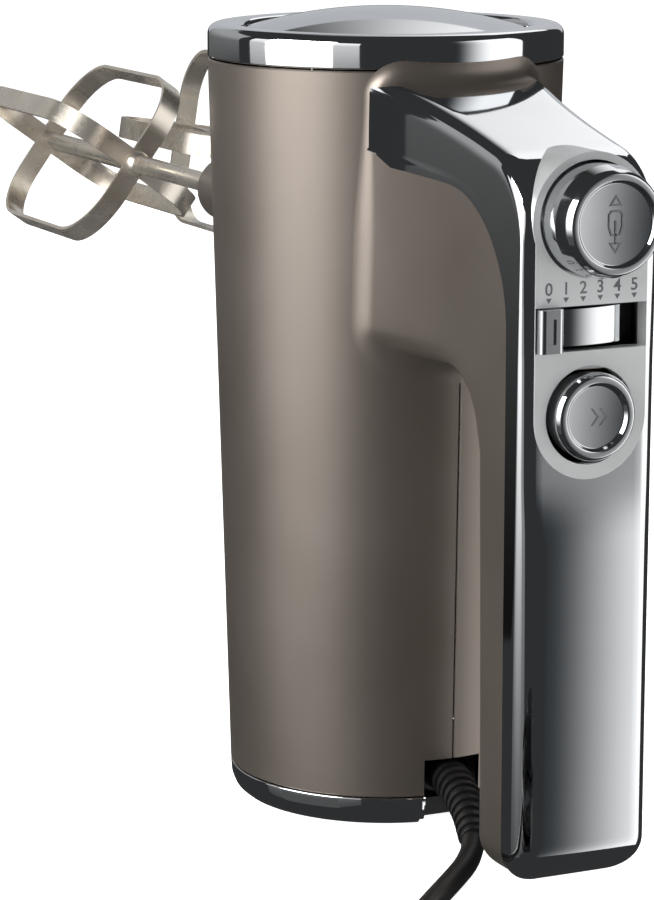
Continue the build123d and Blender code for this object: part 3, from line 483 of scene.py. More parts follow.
def section_at(inner, outer, column, inset, level=None, start=None):
    """Point (x, y, z) on the handle between the two lines, x to the right."""
    inner, outer = Vector(inner), Vector(outer)
    along = (outer - inner).normalized()
    draws, small = (0, 0, 0), 1.0
    if level is not None:
        draws = [end_inset(level, radius) for radius in FOOT_ROUNDS]
        small = 1 - FOOT_SHRINK * draws[1] / FOOT_ROUNDS[1]
    low, side_draw = inset + draws[0], inset + draws[2]
    length = (outer - inner).length - low - inset - draws[1]
    back, front = BACK_ROUND * small, FRONT_ROUND * small
    stretch, t = side_fraction(column)
    if stretch == 0:
        s, x = 0, t * (half_width(inner.x) - side_draw - back)
    elif stretch == 1:
        s = back - back * cos(t * pi / 2)
        x = half_width(inner.x + along.x * back) - side_draw - back + back * sin(t * pi / 2)
    elif stretch == 2:
        first = back if start is None else min(max(start - low, back), length - front - 0.4)
        s = first + t * (length - front - first)
        x = half_width(inner.x + along.x * (s + low)) - side_draw
    elif stretch == 3:
        s = length - front + front * sin(t * pi / 2)
        x = half_width(outer.x - along.x * front) - side_draw - front + front * cos(t * pi / 2)
    else:
        s, x = length, (1 - t) * (half_width(outer.x - along.x * front) - side_draw - front)
    point = inner + along * (low + s)
    return Vector((x, point.x, point.y))


def section_point(u, column, inset, start=None):
    """Point of the section at u."""
    return section_at(inner_line(u), outer_line(u), column, inset, start=start)


def level_point(z, column, inset, start=None):
    """Point of the level section at height z, near the bottom of the grip."""
    z = max(z, GRIP_BOTTOM_Z + 0.0001)
    return section_at((GRIP_BACK_Y, z), (GRIP_FRONT_Y, z), column, inset, z, start)


def section_normal(u, column, inset):
    """Outward direction of the handle's surface at that point."""
    step = 0.02
    low, high = max(0, column - 0.2), min(COLUMNS - 1, column + 0.2)
    along = section_point(u + step, column, inset) - section_point(u - step, column, inset)
    round_it = section_point(u, high, inset) - section_point(u, low, inset)
    out = round_it.cross(along).normalized()
    middle = Vector((0, -60, 150))
    return out if out.dot(section_point(u, column, inset) - middle) > 0 else -out


print("columns of a section", COLUMNS)

# %% [markdown]
# The rows of the loop stand closer together round the bend than along the grip, and
# closer still where the foot rounds off. The painted halves and the cover share them.

# %% Rows of the handle
NECK_END = 1.35
LOOP_STEPS = [NECK_END + 0.05 * i for i in range(1, 18)]
LOOP_STEPS += [ARCH_TO + (LOOP_END - ARCH_TO) * i / 30 for i in range(1, 31)]
FOOT_LEVELS = [GRIP_BOTTOM_Z + (FOOT_Z - GRIP_BOTTOM_Z) * (1 - sin(pi / 2 * i / 22)) for i in range(1, 23)]
print("rows of the loop and of the foot", len(LOOP_STEPS), len(FOOT_LEVELS))


# %% [markdown]
# Where the neck meets the body, a ball rolled along the corner gives the fillet: its
# centre is one radius off the neck's face and one radius off the body. The fillet is
# tight beside the hood, and wide under the arch.

# %% Fillet of neck and body
ARCH_FILLET, SIDE_FILLET, TOP_FILLET = 9.0, 4.0, 6.0


def fillet_radius(column):
    """Radius of the rolling ball at this column."""
    stretch, t = side_fraction(column)
    if stretch <= 1:
        return ARCH_FILLET
    if stretch == 2:
        return ARCH_FILLET + (SIDE_FILLET - ARCH_FILLET) * smooth(0.35, 0.95, t)
    if stretch == 3:
        return SIDE_FILLET + (TOP_FILLET - SIDE_FILLET) * smooth(0, 1, t)
    return TOP_FILLET


def fillet_root(column, inset):
    """Where along the line the ball touches the neck, its centre, and the face's direction."""
    ball = fillet_radius(column)
    low, high = 0.02, 1.2
    for _ in range(40):
        u = (low + high) / 2
        out = section_normal(u, column, inset)
        centre = section_point(u, column, inset) + out * ball
        gap = hypot(centre.x, centre.y) - (body_radius(centre.z) + ball)
        low, high = (u, high) if gap < 0 else (low, u)
    return u, centre, out


def fillet_arc(column, inset, steps=8):
    """Points of the fillet, from the body to the neck, and the neck's starting u."""
    u, centre, out = fillet_root(column, inset)
    ball = fillet_radius(column)
    to_body = Vector((-centre.x, -centre.y, 0)).normalized()
    to_neck = -out
    turn = to_body.angle(to_neck)
    points = []
    for i in range(steps):
        t = i / steps
        mixed = (to_body * sin((1 - t) * turn) + to_neck * sin(t * turn)) / sin(turn)
        points.append(centre + mixed * ball)
    return points, u


def painted_half(side, inset=0.3):
    """Neck and grip of one painted half, with its fillet against the body."""
    columns = []
    for column in range(COLUMNS):
        points, start = fillet_arc(column, inset)
        points += [section_point(start + (NECK_END - start) * i / 16, column, inset) for i in range(17)]
        points += [section_point(u, column, inset) for u in LOOP_STEPS]
        points += [level_point(z, column, inset) + Vector((0, 0, inset)) for z in FOOT_LEVELS]
        points.append(Vector((0, (GRIP_BACK_Y + GRIP_FRONT_Y) / 2, GRIP_BOTTOM_Z + inset)))
        columns.append(points)
    verts = [(side * p.x, p.y, p.z) for points in columns for p in points]
    return verts, grid_faces(COLUMNS, len(columns[0]))


print("ball radius under the arch and on the hood", fillet_radius(0), fillet_radius(COLUMNS - 1), "mm")

# %% [markdown]
# Each painted half also carries half of the body: a tapered wall, drawn in slightly at
# the parting line and at the two ring seams, so that each joint shows as a fine dark
# line. The notch for the cord is left open at the heel, and the collar of the beater
# stands on the back.

# %% Painted halves
NOTCH_HALF, NOTCH_TOP = 7.5, 17
PARTING_ANGLE, PARTING_DEPTH, EDGE_DEPTH = 0.15, 0.3, 0.35
SPINDLE_X, SPINDLE_Z = 21.8, 151.0


def body_half(side):
    """Half of the tapered wall, as verts and faces."""
    heights = [HEEL_SEAM_Z + 0.1 + 0.35 * i for i in range(2)]
    heights += [8.6, 10, 12, 14, 15.4, 16.3, 17.0, 17.6] + [20 + 168 * i / 56 for i in range(56)]
    heights += [NOSE_SEAM_Z - 0.45, NOSE_SEAM_Z - 0.1]
    angles = [0.6 + 178.8 * i / 120 for i in range(121)]
    angles = [PARTING_ANGLE] + angles + [180 - PARTING_ANGLE]
    verts, keep = [], []
    for z in heights:
        edge = EDGE_DEPTH if z in (heights[0], heights[-1]) else 0.0
        for a in angles:
            groove = PARTING_DEPTH if a in (angles[0], angles[-1]) else 0.0
            r = body_radius(z) - edge - groove
            verts.append((side * r * sin(radians(a)), -r * cos(radians(a)), z))
    columns = len(angles)
    for face in grid_faces(len(heights), columns):
        middle = [sum(verts[i][k] for i in face) / 4 for k in range(3)]
        in_notch = abs(middle[0]) < NOTCH_HALF and middle[1] < 0 and middle[2] < NOTCH_TOP
        if not in_notch:
            keep.append(face)
    return verts, keep


def join(parts):
    """Several (verts, faces) lists as one."""
    verts, faces = [], []
    for more_verts, more_faces in parts:
        start = len(verts)
        verts += more_verts
        faces += [tuple(i + start for i in face) for face in more_faces]
    return verts, faces


def collar(side):
    """Collar round the beater's shank, from inside the wall to its rounded end."""
    profile = [(8.4, 30), (8.4, 50.0), (8.1, 50.7), (7.4, 51.0), (6.6, 51.0), (6.2, 50.6), (6.2, 38)]
    steps, verts = 48, []
    for i in range(steps):
        a = 2 * pi * i / steps
        verts += [(side * SPINDLE_X + r * cos(a), y, SPINDLE_Z + r * sin(a)) for r, y in profile]
    return verts, ring_faces(steps, len(profile))


halves = []
for side, node_name in ((-1, "left_housing"), (1, "right_housing")):
    parts = [body_half(side), painted_half(side), collar(side)]
    half = new_piece("painted_" + node_name, *join(parts), PAINT)
    crease(half, 40)
    place_piece(half, "casing", "champagne_paint", node_name)
    print(half.name, "faces", len(half.data.polygons))
    halves.append(half)


# %% [markdown]
# ## The chrome cover
# The cover wraps the front of the grip and the top of the hood. Its lower edge is the
# seam: nearly level under the hood, bending into a vertical line down the grip. Its
# back edge is an arc round the body.

# %% Seam
SEAM_Y, SEAM_Z = -98.5, 163.2
SEAM_BEND_R, SEAM_SLOPE = 29, 4 / 68.5


def past_seam(y, z):
    """How far a point is on the cover's side of the seam."""
    line = SEAM_Z + SEAM_SLOPE * (y - SEAM_Y)
    bend_y, bend_z = SEAM_Y + SEAM_BEND_R, line - SEAM_BEND_R
    if y < bend_y and z > bend_z:
        return hypot(y - bend_y, z - bend_z) - SEAM_BEND_R
    return max(SEAM_Y - y, z - line)


def seam_start(inner, outer):
    """How far up the section, from the inner line, the seam crosses."""
    inner, outer = Vector(inner), Vector(outer)
    low, high = 0.0, 1.0
    for _ in range(30):
        t = (low + high) / 2
        p = inner.lerp(outer, t)
        low, high = (t, high) if past_seam(p.x, p.y) < 0 else (low, t)
    return low * (outer - inner).length


print("seam on the grip starts", round(seam_start(inner_line(2.5), outer_line(2.5)), 1), "mm up the side")

# %% [markdown]
# The cover's points come from the same sections as the paint, started at the seam, so
# the two can't drift apart. A thin turned-in lip makes both edges look like folded
# sheet. Below the plate the front is crowned by almost a millimetre, which is what
# bends the reflections there.

# %% Cover
HOOD_EDGE_R, HOOD_EDGE_Y = 24.3, -29.7
EDGE_FLARE, FLARE_COLUMNS = 2.5, 5
CROWN, CROWN_LOW, CROWN_HIGH, CROWN_DEPTH = 0.9, 88, 100, 4.5
CLOSING_Y = 10.4


def cover_point(u, column, inset):
    """Point of the cover at u on the loop."""
    return section_point(u, column, inset, seam_start(inner_line(u), outer_line(u)))


def cover_foot(z, column, inset):
    """Point of the cover at height z, below the loop."""
    return level_point(z, column, inset, seam_start((GRIP_BACK_Y, z), (GRIP_FRONT_Y, z)))


def crowned(p):
    """The front of the grip bulges a little below the plate."""
    if p.y > GRIP_FRONT_Y + CROWN_DEPTH or p.z > CROWN_HIGH:
        return p
    bulge = CROWN * (1 - (p.x / GRIP_HALF_WIDTH) ** 2) * smooth(CROWN_HIGH, CROWN_LOW, p.z)
    share = smooth(GRIP_FRONT_Y + CROWN_DEPTH, GRIP_FRONT_Y, p.y)
    return p + Vector((0, -max(0, bulge) * share, 0))


def hood_start(column, inset):
    """Where along the line the cover's back edge is."""
    low, high = 0.02, 1.2
    corner = max(0, 1 - (column - BACK_FLAT - CORNER) / FLARE_COLUMNS)
    for _ in range(30):
        u = (low + high) / 2
        p = cover_point(u, column, inset)
        beyond = hypot(p.x, p.y - HOOD_EDGE_Y) - HOOD_EDGE_R - EDGE_FLARE * corner ** 2
        low, high = (u, high) if beyond < 0 else (low, u)
    return u


def cover_half(side):
    """One half of the cover, from the seam to the middle of the front."""
    first = BACK_FLAT + CORNER
    lip = [(first + 0.01, 1.2), (first + 0.01, 0.25), (first + 0.15, 0.0)]
    edge = 0.004
    columns = []
    for column, inset in lip + [(c, 0.0) for c in range(first + 1, COLUMNS)]:
        start = hood_start(column, inset)
        points = [cover_point(start, column, inset + turned_in) for turned_in in (1.1, 0.25)]
        rows = [start + edge + (NECK_END - edge - start) * i / 24 for i in range(25)]
        points += [cover_point(u, column, inset) for u in rows + LOOP_STEPS]
        points += [cover_foot(z, column, inset) for z in FOOT_LEVELS]
        points.append(Vector((0, GRIP_FRONT_Y + CLOSING_Y, GRIP_BOTTOM_Z)))
        columns.append([crowned(p) for p in points])
    verts = [(side * p.x, p.y, p.z) for points in columns for p in points]
    return verts, grid_faces(len(columns), len(columns[0]))


cover = new_piece("chrome_cover", *join([cover_half(-1), cover_half(1)]), CHROME)
print("cover faces", len(cover.data.polygons))

# %% [markdown]
# The slider's slot and the hole behind the lower button are cut through the cover and
# the painted halves, so that the knob slides in a real opening. The slot's edges are
# bisected first, which keeps them straight. The hole needs no clean edge, because the
# control plate covers it.

# %% Slot in the cover
TURBO_Z, SLOT_Z = 115.3, 135.4
SLOT_HALF_X, SLOT_HALF_Z, TURBO_HOLE_R = 14.2, 5.1, 12.4
FRONT_FROM_Y = -104


def open_window(piece, half_x, low_z, high_z):
    """Cuts a clean rectangular window in the front of a piece."""
    mesh = bmesh.new()
    mesh.from_mesh(piece.data)
    for place, across in (((half_x, 0, 0), (1, 0, 0)), ((-half_x, 0, 0), (1, 0, 0)),
                          ((0, 0, low_z), (0, 0, 1)), ((0, 0, high_z), (0, 0, 1))):
        front = [f for f in mesh.faces if f.calc_center_median().y < FRONT_FROM_Y * MM]
        parts = front + list({e for f in front for e in f.edges})
        parts += list({v for f in front for v in f.verts})
        bmesh.ops.bisect_plane(mesh, geom=parts, plane_co=[v * MM for v in place], plane_no=across)
    mesh.to_mesh(piece.data)
    mesh.free()
    drop_faces(piece, lambda p: p.y < FRONT_FROM_Y and abs(p.x) < half_x and low_z < p.z < high_z)


def drop_faces(piece, inside):
    """Takes away the faces whose middle passes the test."""
    mesh = bmesh.new()
    mesh.from_mesh(piece.data)
    gone = [face for face in mesh.faces if inside(face.calc_center_median() / MM)]
    bmesh.ops.delete(mesh, geom=gone, context="FACES")
    mesh.to_mesh(piece.data)
    mesh.free()


for piece in (cover, *halves):
    open_window(piece, SLOT_HALF_X, SLOT_Z - SLOT_HALF_Z, SLOT_Z + SLOT_HALF_Z)
    drop_faces(piece, lambda p: p.y < FRONT_FROM_Y and hypot(p.x, p.z - TURBO_Z) < TURBO_HOLE_R)
    print(piece.name, "faces with the openings", len(piece.data.polygons))
crease(cover, 40)
place_piece(cover, "casing", "mirror_chrome", "handle_cover")

# %% [markdown]
# ## Rings, dome and heel
# The nose ring is plated, with a rolled lip. Inside it a shallow dome stands on a skirt
# of slots that let the fan's air out. The heel ring is the same plating.

# %% Nose ring and dome
RING = rounded_profile(
    [(43.6, 188.9), (44.5, 188.9), (44.5, 197.0), (36.2, 197.0), (36.2, 192.6), (31, 192.6)],
    [0, 0.4, 2.6, 1.6, 0.3, 0], 8)
ring = turned_piece("plated_nose_ring", RING, CHROME, steps=192)
place_piece(crease(ring, 50), "casing", "mirror_chrome", "nose_ring")
print("nose ring faces", len(ring.data.polygons))

# %% [markdown]
# The dome is a shallow cap cut from a large ball, whose radius follows from the cap's
# width and rise. Each slot in its skirt is eight of the twelve steps between two posts.

# %% Slotted dome
DOME_R, SKIRT_TOP, APEX = 34.9, 195.9, 201.0
SLOT_LOW, SLOT_HIGH = 193.6, 195.0
SLOTS, SLOT_STEPS = 16, 12


def dome_piece():
    """Dome, and its skirt with open slots between the posts."""
    ball = (DOME_R ** 2 + (APEX - SKIRT_TOP) ** 2) / (2 * (APEX - SKIRT_TOP))
    profile = [(0.0, APEX)]
    for i in range(1, 25):
        r = DOME_R * i / 24 * 0.985
        profile.append((r, APEX - ball + sqrt(ball ** 2 - r * r)))
    profile += [(DOME_R - 0.12, SKIRT_TOP - 0.12), (DOME_R, SKIRT_TOP - 0.45)]
    profile += [(DOME_R, SLOT_HIGH), (DOME_R, SLOT_LOW), (DOME_R, 192.7)]
    steps = SLOTS * SLOT_STEPS
    piece = turned_piece("slotted_dome", profile, CHROME, steps=steps)

    def in_slot(p):
        step = atan2(p.y, p.x) / (2 * pi) * steps % SLOT_STEPS
        return SLOT_LOW < p.z < SLOT_HIGH and 2 <= step < SLOT_STEPS - 2

    drop_faces(piece, in_slot)
    thicken(piece, 1.2)
    return piece


dome = dome_piece()
place_piece(crease(dome, 50), "casing", "mirror_chrome", "nose_dome")
print("dome faces", len(dome.data.polygons))

# %% [markdown]
# The heel ring is pressed from sheet and plated like the nose ring. It is the foot the
# mixer stands on, with a notch in front where the cord comes out.

# %% Heel ring
HEEL = rounded_profile(
    [(38.4, 7.45), (39.6, 7.45), (39.4, 4.2), (38.4, 1.7), (36.4, 0.02), (32.9, 0.02)],
    [0, 0.4, 3, 2.5, 1.2, 0], 6)
heel = turned_piece("plated_heel_ring", HEEL, CHROME, steps=240)
drop_faces(heel, lambda p: abs(p.x) < NOTCH_HALF - 0.1 and p.y < 0)
thicken(heel, 1.5)
place_piece(crease(heel, 50), "casing", "mirror_chrome", "heel_ring")
print("heel ring faces", len(heel.data.polygons))

# %% [markdown]
# ## Controls
# The two buttons are turned caps with a raised rim and a dished face. They sit on the
# plate, and move along Y. The raised rim catches the light as a bright ring.

# %% Buttons
EJECT_Z = 160.1
EJECT = rounded_profile(
    [(12.9, -95), (12.9, -112.5), (12.2, -116.2), (11.4, -117.8), (9.8, -117.8), (9.3, -116.9),
     (0.0, -116.7)],
    [0, 1.2, 2.5, 0.7, 0.5, 0.5, 0], 6)
eject = turned_piece("eject_cap", EJECT, BUTTON, (0, 0, EJECT_Z), "Y")
place_piece(crease(eject, 50), "eject_key", "button_chrome", "eject_button")

TURBO = rounded_profile(
    [(10.2, -100), (10.2, -109.2), (9.5, -110.3), (7.9, -110.3), (7.2, -109.3), (0.0, -109.2)],
    [0, 1.0, 0.8, 0.6, 0.4, 0], 6)
turbo = turned_piece("turbo_cap", TURBO, BUTTON, (0, 0, TURBO_Z), "Y")
place_piece(crease(turbo, 50), "turbo_key", "button_chrome", "turbo_button")
print("button faces", len(eject.data.polygons), len(turbo.data.polygons))

# %% [markdown]
# A wound spring stands behind each button.

# %% Springs
def wound_spring(name, node_name, wire, turns):
    """A round-wire spring in the place of its CAD node."""
    low, high = (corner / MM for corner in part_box(node_name))
    radius = (high.x - low.x) / 2 - wire
    middle_x, middle_z = (low.x + high.x) / 2, (low.z + high.z) / 2
    start, length = low.y + wire, high.y - low.y - 2 * wire
    steps, around = turns * 32, 10
    verts = []
    for i in range(steps + 1):
        a = 2 * pi * turns * i / steps
        for j in range(around):
            b = 2 * pi * j / around
            r, y = radius + wire * cos(b), start + length * i / steps + wire * sin(b)
            verts.append((middle_x + r * cos(a), y, middle_z + r * sin(a)))
    faces = grid_faces(steps + 1, around, close_rows=True)
    faces += [tuple(range(around)), tuple(steps * around + j for j in range(around))]
    spring = new_piece(name, verts, faces, INSIDE["spring_steel"])
    place_piece(spring, "casing", "spring_steel", node_name)
    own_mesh(spring)


wound_spring("eject_return_spring", "eject_spring", 0.6, 6)
wound_spring("boost_return_spring", "turbo_spring", 0.45, 5)

# %% [markdown]
# The scale is printed in grey ink: the digits 0 to 5 over small pointers, one for each
# stop of the slider. Print is a real layer, so each mark is a flat mesh a few hundredths
# of a millimetre above the plate. The digits start as Blender text.

# %% Printed scale
PLATE_Y, INK_LIFT = -106.5, 0.03
STOPS, FIRST_STOP_X, STOP_PITCH = 6, -11, 4.4
DIGIT_Z, DIGIT_HEIGHT = 144.6, 2.9
POINTER_TOP, POINTER_TIP, POINTER_HALF = 142.7, 141.5, 0.75


def ink_mesh(name, shapes, y):
    """Flat printed shapes in the X-Z plane, each a list of (x, z) points."""
    verts, faces = [], []
    for shape in shapes:
        faces.append(tuple(range(len(verts), len(verts) + len(shape))))
        verts += [(x, y, z) for x, z in shape]
    return new_piece(name, verts, faces, INK, flat=True)


def printed_digit(text, x, z, height, y):
    """One digit as a flat mesh standing on the plate."""
    curve = bpy.data.curves.new("digit_" + text, "FONT")
    curve.body, curve.align_x, curve.align_y = text, "CENTER", "CENTER"
    curve.size, curve.offset = height * 1.38 * MM, 0.00006
    carrier = bpy.data.objects.new("carrier", curve)
    mesh = bpy.data.meshes.new_from_object(carrier)
    bpy.data.objects.remove(carrier)
    mesh.materials.clear()
    mesh.materials.append(INK)
    for v in mesh.vertices:
        v.co = Vector((v.co.x + x * MM, y * MM, v.co.y + z * MM))
    piece = bpy.data.objects.new("digit_" + text, mesh)
    scene.collection.objects.link(piece)
    return piece


pointers = []
for stop in range(STOPS):
    x = FIRST_STOP_X + STOP_PITCH * stop
    digit = printed_digit(str(stop), x, DIGIT_Z, DIGIT_HEIGHT, PLATE_Y - INK_LIFT)
    place_piece(digit, "casing", "black_plastic")
    pointers.append([(x - POINTER_HALF, POINTER_TOP), (x + POINTER_HALF, POINTER_TOP), (x, POINTER_TIP)])
place_piece(ink_mesh("scale_pointers", pointers, PLATE_Y - INK_LIFT), "casing", "black_plastic")
print("stops on the scale", len(pointers))


# %% [markdown]
# The eject button has a beater between two arrows, drawn in line. The boost button has
# a plain double chevron.

# %% Symbols on the buttons
def outline(points, width):
    """A closed line of even width round the points, as quads."""
    middle = Vector((sum(p[0] for p in points), sum(p[1] for p in points))) / len(points)
    inner = []
    count = len(points)
    for i in range(count):
        before, here, after = (Vector(points[(i + k) % count]) for k in (-1, 0, 1))
        a, b = (here - before).normalized(), (after - here).normalized()
        sideways = Vector((-a.y - b.y, a.x + b.x)).normalized()
        if sideways.dot(middle - here) < 0:
            sideways = -sideways
        bite = max(0.3, abs(sideways.dot(Vector((-a.y, a.x)))))
        inner.append(here + sideways * width / bite)
    quads = []
    for i in range(count):
        k = (i + 1) % count
        quads.append([points[i], points[k], tuple(inner[k]), tuple(inner[i])])
    return quads


LINE_WIDTH = 0.4
EJECT_FACE_Y, BOOST_FACE_Y = -116.95, -109.32


def eject_symbol():
    """Two arrow heads and a beater between them, drawn in line."""
    z = EJECT_Z
    shapes = outline([(-1.7, z + 4.1), (1.7, z + 4.1), (0, z + 6.6)], LINE_WIDTH)
    shapes += outline([(-1.7, z - 4.1), (1.7, z - 4.1), (0, z - 6.6)], LINE_WIDTH)
    loop = [(-1.9, z - 0.6), (-1.2, z - 2.6), (1.2, z - 2.6), (1.9, z - 0.6),
            (1.9, z + 2.2), (1.2, z + 3.1), (-1.2, z + 3.1), (-1.9, z + 2.2)]
    shapes += outline(loop, LINE_WIDTH)
    shapes += [[(-0.2, z - 4.3), (0.2, z - 4.3), (0.2, z + 0.8), (-0.2, z + 0.8)]]
    return shapes


symbol = ink_mesh("eject_symbol", eject_symbol(), EJECT_FACE_Y)
place_piece(symbol, "eject_key", "black_plastic")
chevrons = []
for x in (-1.3, 0.9):
    chevrons.append([(x, TURBO_Z + 2), (x + 0.55, TURBO_Z + 2), (x + 2.2, TURBO_Z), (x + 1.65, TURBO_Z)])
    chevrons.append([(x + 1.65, TURBO_Z), (x + 2.2, TURBO_Z), (x + 0.55, TURBO_Z - 2), (x, TURBO_Z - 2)])
place_piece(ink_mesh("boost_symbol", chevrons, BOOST_FACE_Y), "turbo_key", "black_plastic")
print("shapes in the two symbols", len(symbol.data.polygons), len(chevrons))

# %% [markdown]
# ## Cord
# One curve is the whole cord. It leaves the heel, runs to the floor and past the grip,
# and is wound beside the mixer: three turns on the floor, then about two and a half on
# top of them. The plug lies on the coil, and both are outside the camera's view.

# %% Cord route
CORD_R = 2.8
EXIT = [(0, -29, 11.5), (0, -40, 11.2), (-4, -56, 9.0), (-9.5, -70, 5.6)]
RUN = [(-15.5, -78.6, 3.4), (-26.5, -90, 2.9), (-36, -100, 2.85), (-45, -110, 2.85),
       (-55, -123, 2.85), (-63.5, -137.5, 2.85), (-69, -148, 2.85)]
COIL_X, COIL_Y = -41.0, -171.0
COIL_RADII, COIL_START = (36.5, 30.8, 25.1), radians(155)
LAYERS = (2.85, 8.45)
TURN_POINTS = 24
DIP_FROM, DIP_TO, DIP = 0.63, 1.13, 2.2
RISE_FROM = radians(20)


def coil_route():
    """Turns of the coil: inwards on the floor, up a layer, outwards again."""
    points, radii = [], COIL_RADII
    for turn in range(6):
        for i in range(TURN_POINTS):
            share = i / TURN_POINTS
            shift = smooth(0.80, 1.0, share)
            z = LAYERS[0] if turn < 3 else LAYERS[1]
            r = radii[turn] if turn < 3 else radii[5 - turn]
            if turn < 2:
                r += (radii[turn + 1] - r) * shift
            elif turn == 2:
                z += (LAYERS[1] - LAYERS[0]) * shift
            elif turn < 5:
                r += (radii[4 - turn] - r) * shift
            climb = turn - 2 + share
            if DIP_FROM < climb < DIP_TO:
                r -= DIP * sin(2 * pi * (climb - DIP_FROM)) ** 2
            a = COIL_START + 2 * pi * share
            if turn == 5 and a > RISE_FROM + 2 * pi:
                break
            points.append((COIL_X + r * cos(a), COIL_Y + r * sin(a), z))
    return points


print("points of the coil", len(coil_route()))

# %% [markdown]
# The last turn climbs off the coil on its outer ring, curves in over it on a smaller
# arc and meets the plug's tail, so that no bend is tighter than the cord allows.

# %% End of the route
LEAVE, TAIL_END = radians(146), radians(245)
RING_R, TAIL_TURN_R = 36.6, 22.4
TAIL_POINTS = 18
PLUG_AT = Vector((-38.1, -195.1, 18.1))
PLUG_ALONG = Vector((cos(radians(-25)), sin(radians(-25)), 0))


def tail_route():
    """Points from the top of the coil to the tail of the plug."""
    tail = PLUG_AT - PLUG_ALONG * 27
    left = Vector((-PLUG_ALONG.y, PLUG_ALONG.x, 0))
    hub = tail + left * TAIL_TURN_R
    ring_arc = (LEAVE - RISE_FROM) * RING_R
    hub_arc = (TAIL_END - LEAVE) * TAIL_TURN_R
    points = []
    for i in range(1, TAIL_POINTS + 1):
        share = i / TAIL_POINTS
        along = (ring_arc + hub_arc) * share
        z = LAYERS[1] + (PLUG_AT.z - LAYERS[1]) * smooth(0, 1, share)
        if along < ring_arc:
            a = RISE_FROM + along / RING_R
            points.append((COIL_X + RING_R * cos(a), COIL_Y + RING_R * sin(a), z))
        else:
            a = LEAVE + (along - ring_arc) / TAIL_TURN_R
            points.append((hub.x + TAIL_TURN_R * cos(a), hub.y + TAIL_TURN_R * sin(a), z))
    return points + [tuple(tail + PLUG_ALONG * 4)]


route = EXIT + RUN + coil_route() + tail_route()
print("points of the whole route", len(route))

# %% [markdown]
# A copy of the curve with no thickness gives the points of the route's own line.

# %% Cord
def cord_curve(name, points, thickness):
    """One smooth curve through the route, as thick as the cord."""
    curve = bpy.data.curves.new(name, "CURVE")
    curve.dimensions, curve.resolution_u = "3D", 8
    line = curve.splines.new("NURBS")
    line.points.add(len(points) - 1)
    for point, (x, y, z) in zip(line.points, points):
        point.co = (x * MM, y * MM, z * MM, 1)
    line.order_u = 3
    line.use_endpoint_u = True
    curve.bevel_depth, curve.bevel_resolution = thickness * MM, 6
    curve.use_fill_caps = thickness > 0
    piece = bpy.data.objects.new(name, curve)
    scene.collection.objects.link(piece)
    return piece


def line_of(points):
    """Points along the route's own line, in metres."""
    bare = cord_curve("bare_route", points, 0)
    mesh = bpy.data.meshes.new_from_object(bare.evaluated_get(bpy.context.evaluated_depsgraph_get()))
    found = [v.co.copy() for v in mesh.vertices]
    bpy.data.objects.remove(bare)
    return found


centreline = line_of(route)
lead = cord_curve("rubber_cord", route, CORD_R)
lead.data.materials.append(RUBBER)
place_piece(lead, "casing", "cord_rubber", "supply_cord", "cord_coil")

# %% [markdown]
# ## Floor, light and camera
# A mirror finish has no look of its own: it shows what stands round it. Graded glowing
# boards stand round the mixer, so that the chrome has bright and dark bands to mirror.
# They are hidden from the camera, and they light the paint as well.

# %% Boards
def board(name, shades, strength, centre, size, heading, tilt=0.0, axis=0, start=0.0, reach=1.0):
    """A glowing board that turns from one shade to the other along its width or height."""
    mesh = bpy.data.meshes.new(name)
    w, h = size[0] / 2, size[1] / 2
    mesh.from_pydata([(-w, 0, -h), (w, 0, -h), (w, 0, h), (-w, 0, h)], [], [(0, 1, 2, 3)])
    material = bpy.data.materials.new(name)
    material.use_nodes = True
    tree = material.node_tree
    tree.nodes.clear()
    place = tree.nodes.new("ShaderNodeTexCoord")
    split = add_node(tree, "ShaderNodeSeparateXYZ", Vector=place.outputs["Object"])
    half = (w, 0, h)[axis]
    share = add_node(tree, "ShaderNodeMapRange", Value=split.outputs[axis],
                     From_Min=-half, From_Max=half)
    ramp = add_node(tree, "ShaderNodeValToRGB", Fac=share.outputs["Result"])
    ramp.color_ramp.interpolation = "EASE"
    ramp.color_ramp.elements[0].color = linear(shades[0])
    ramp.color_ramp.elements[1].color = linear(shades[1])
    ramp.color_ramp.elements[1].position = reach
    ramp.color_ramp.elements[0].position = start
    glow = add_node(tree, "ShaderNodeEmission", Color=ramp.outputs["Color"], Strength=strength)
    out = tree.nodes.new("ShaderNodeOutputMaterial")
    tree.links.new(glow.outputs[0], out.inputs[0])
    mesh.materials.append(material)
    piece = bpy.data.objects.new(name, mesh)
    piece.location = centre
    piece.rotation_euler = (radians(tilt), 0, radians(heading))
    piece.visible_camera = False
    piece.visible_shadow = False
    scene.collection.objects.link(piece)
    piece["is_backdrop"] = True
    return piece


BOARDS = [
    board("left_board", ("181818", "ffffff"), 10.0, (-1.22, -0.14, 0.15), (1.1, 1.9), -83,
          axis=2, start=0.2),
    board("left_wide_board", ("383838", "d0d0d0"), 1.9, (-1.6, -0.2, 0.15), (2.7, 1.9), -81, axis=2),
    board("right_front_board", ("303335", "ffffff"), 1.35, (0.85, -0.85, 0.1), (1.15, 1.9), 45,
          reach=0.56),
    board("back_board", ("c8ccd2", "d8dade"), 0.8, (0.75, 1.5, 0.62), (1.3, 0.8), -27),
    board("back_left_board", ("181818", "bcbcbc"), 0.75, (-0.6, 1.6, 0.45), (1.7, 1.7), 20,
          axis=2, reach=0.7),
    board("back_top_board", ("202020", "ffffff"), 1.2, (0.68, 1.02, 1.2), (1.1, 0.9), -30, 45, reach=0.7),
]
print("boards", len(BOARDS))

# %% [markdown]
# The floor is matt white paper. Paper scatters nearly all the light, so it glows a
# little here to stay as pale as the background. It is hidden from reflections, because
# a glowing floor would wash out the dark bands low down on the chrome.

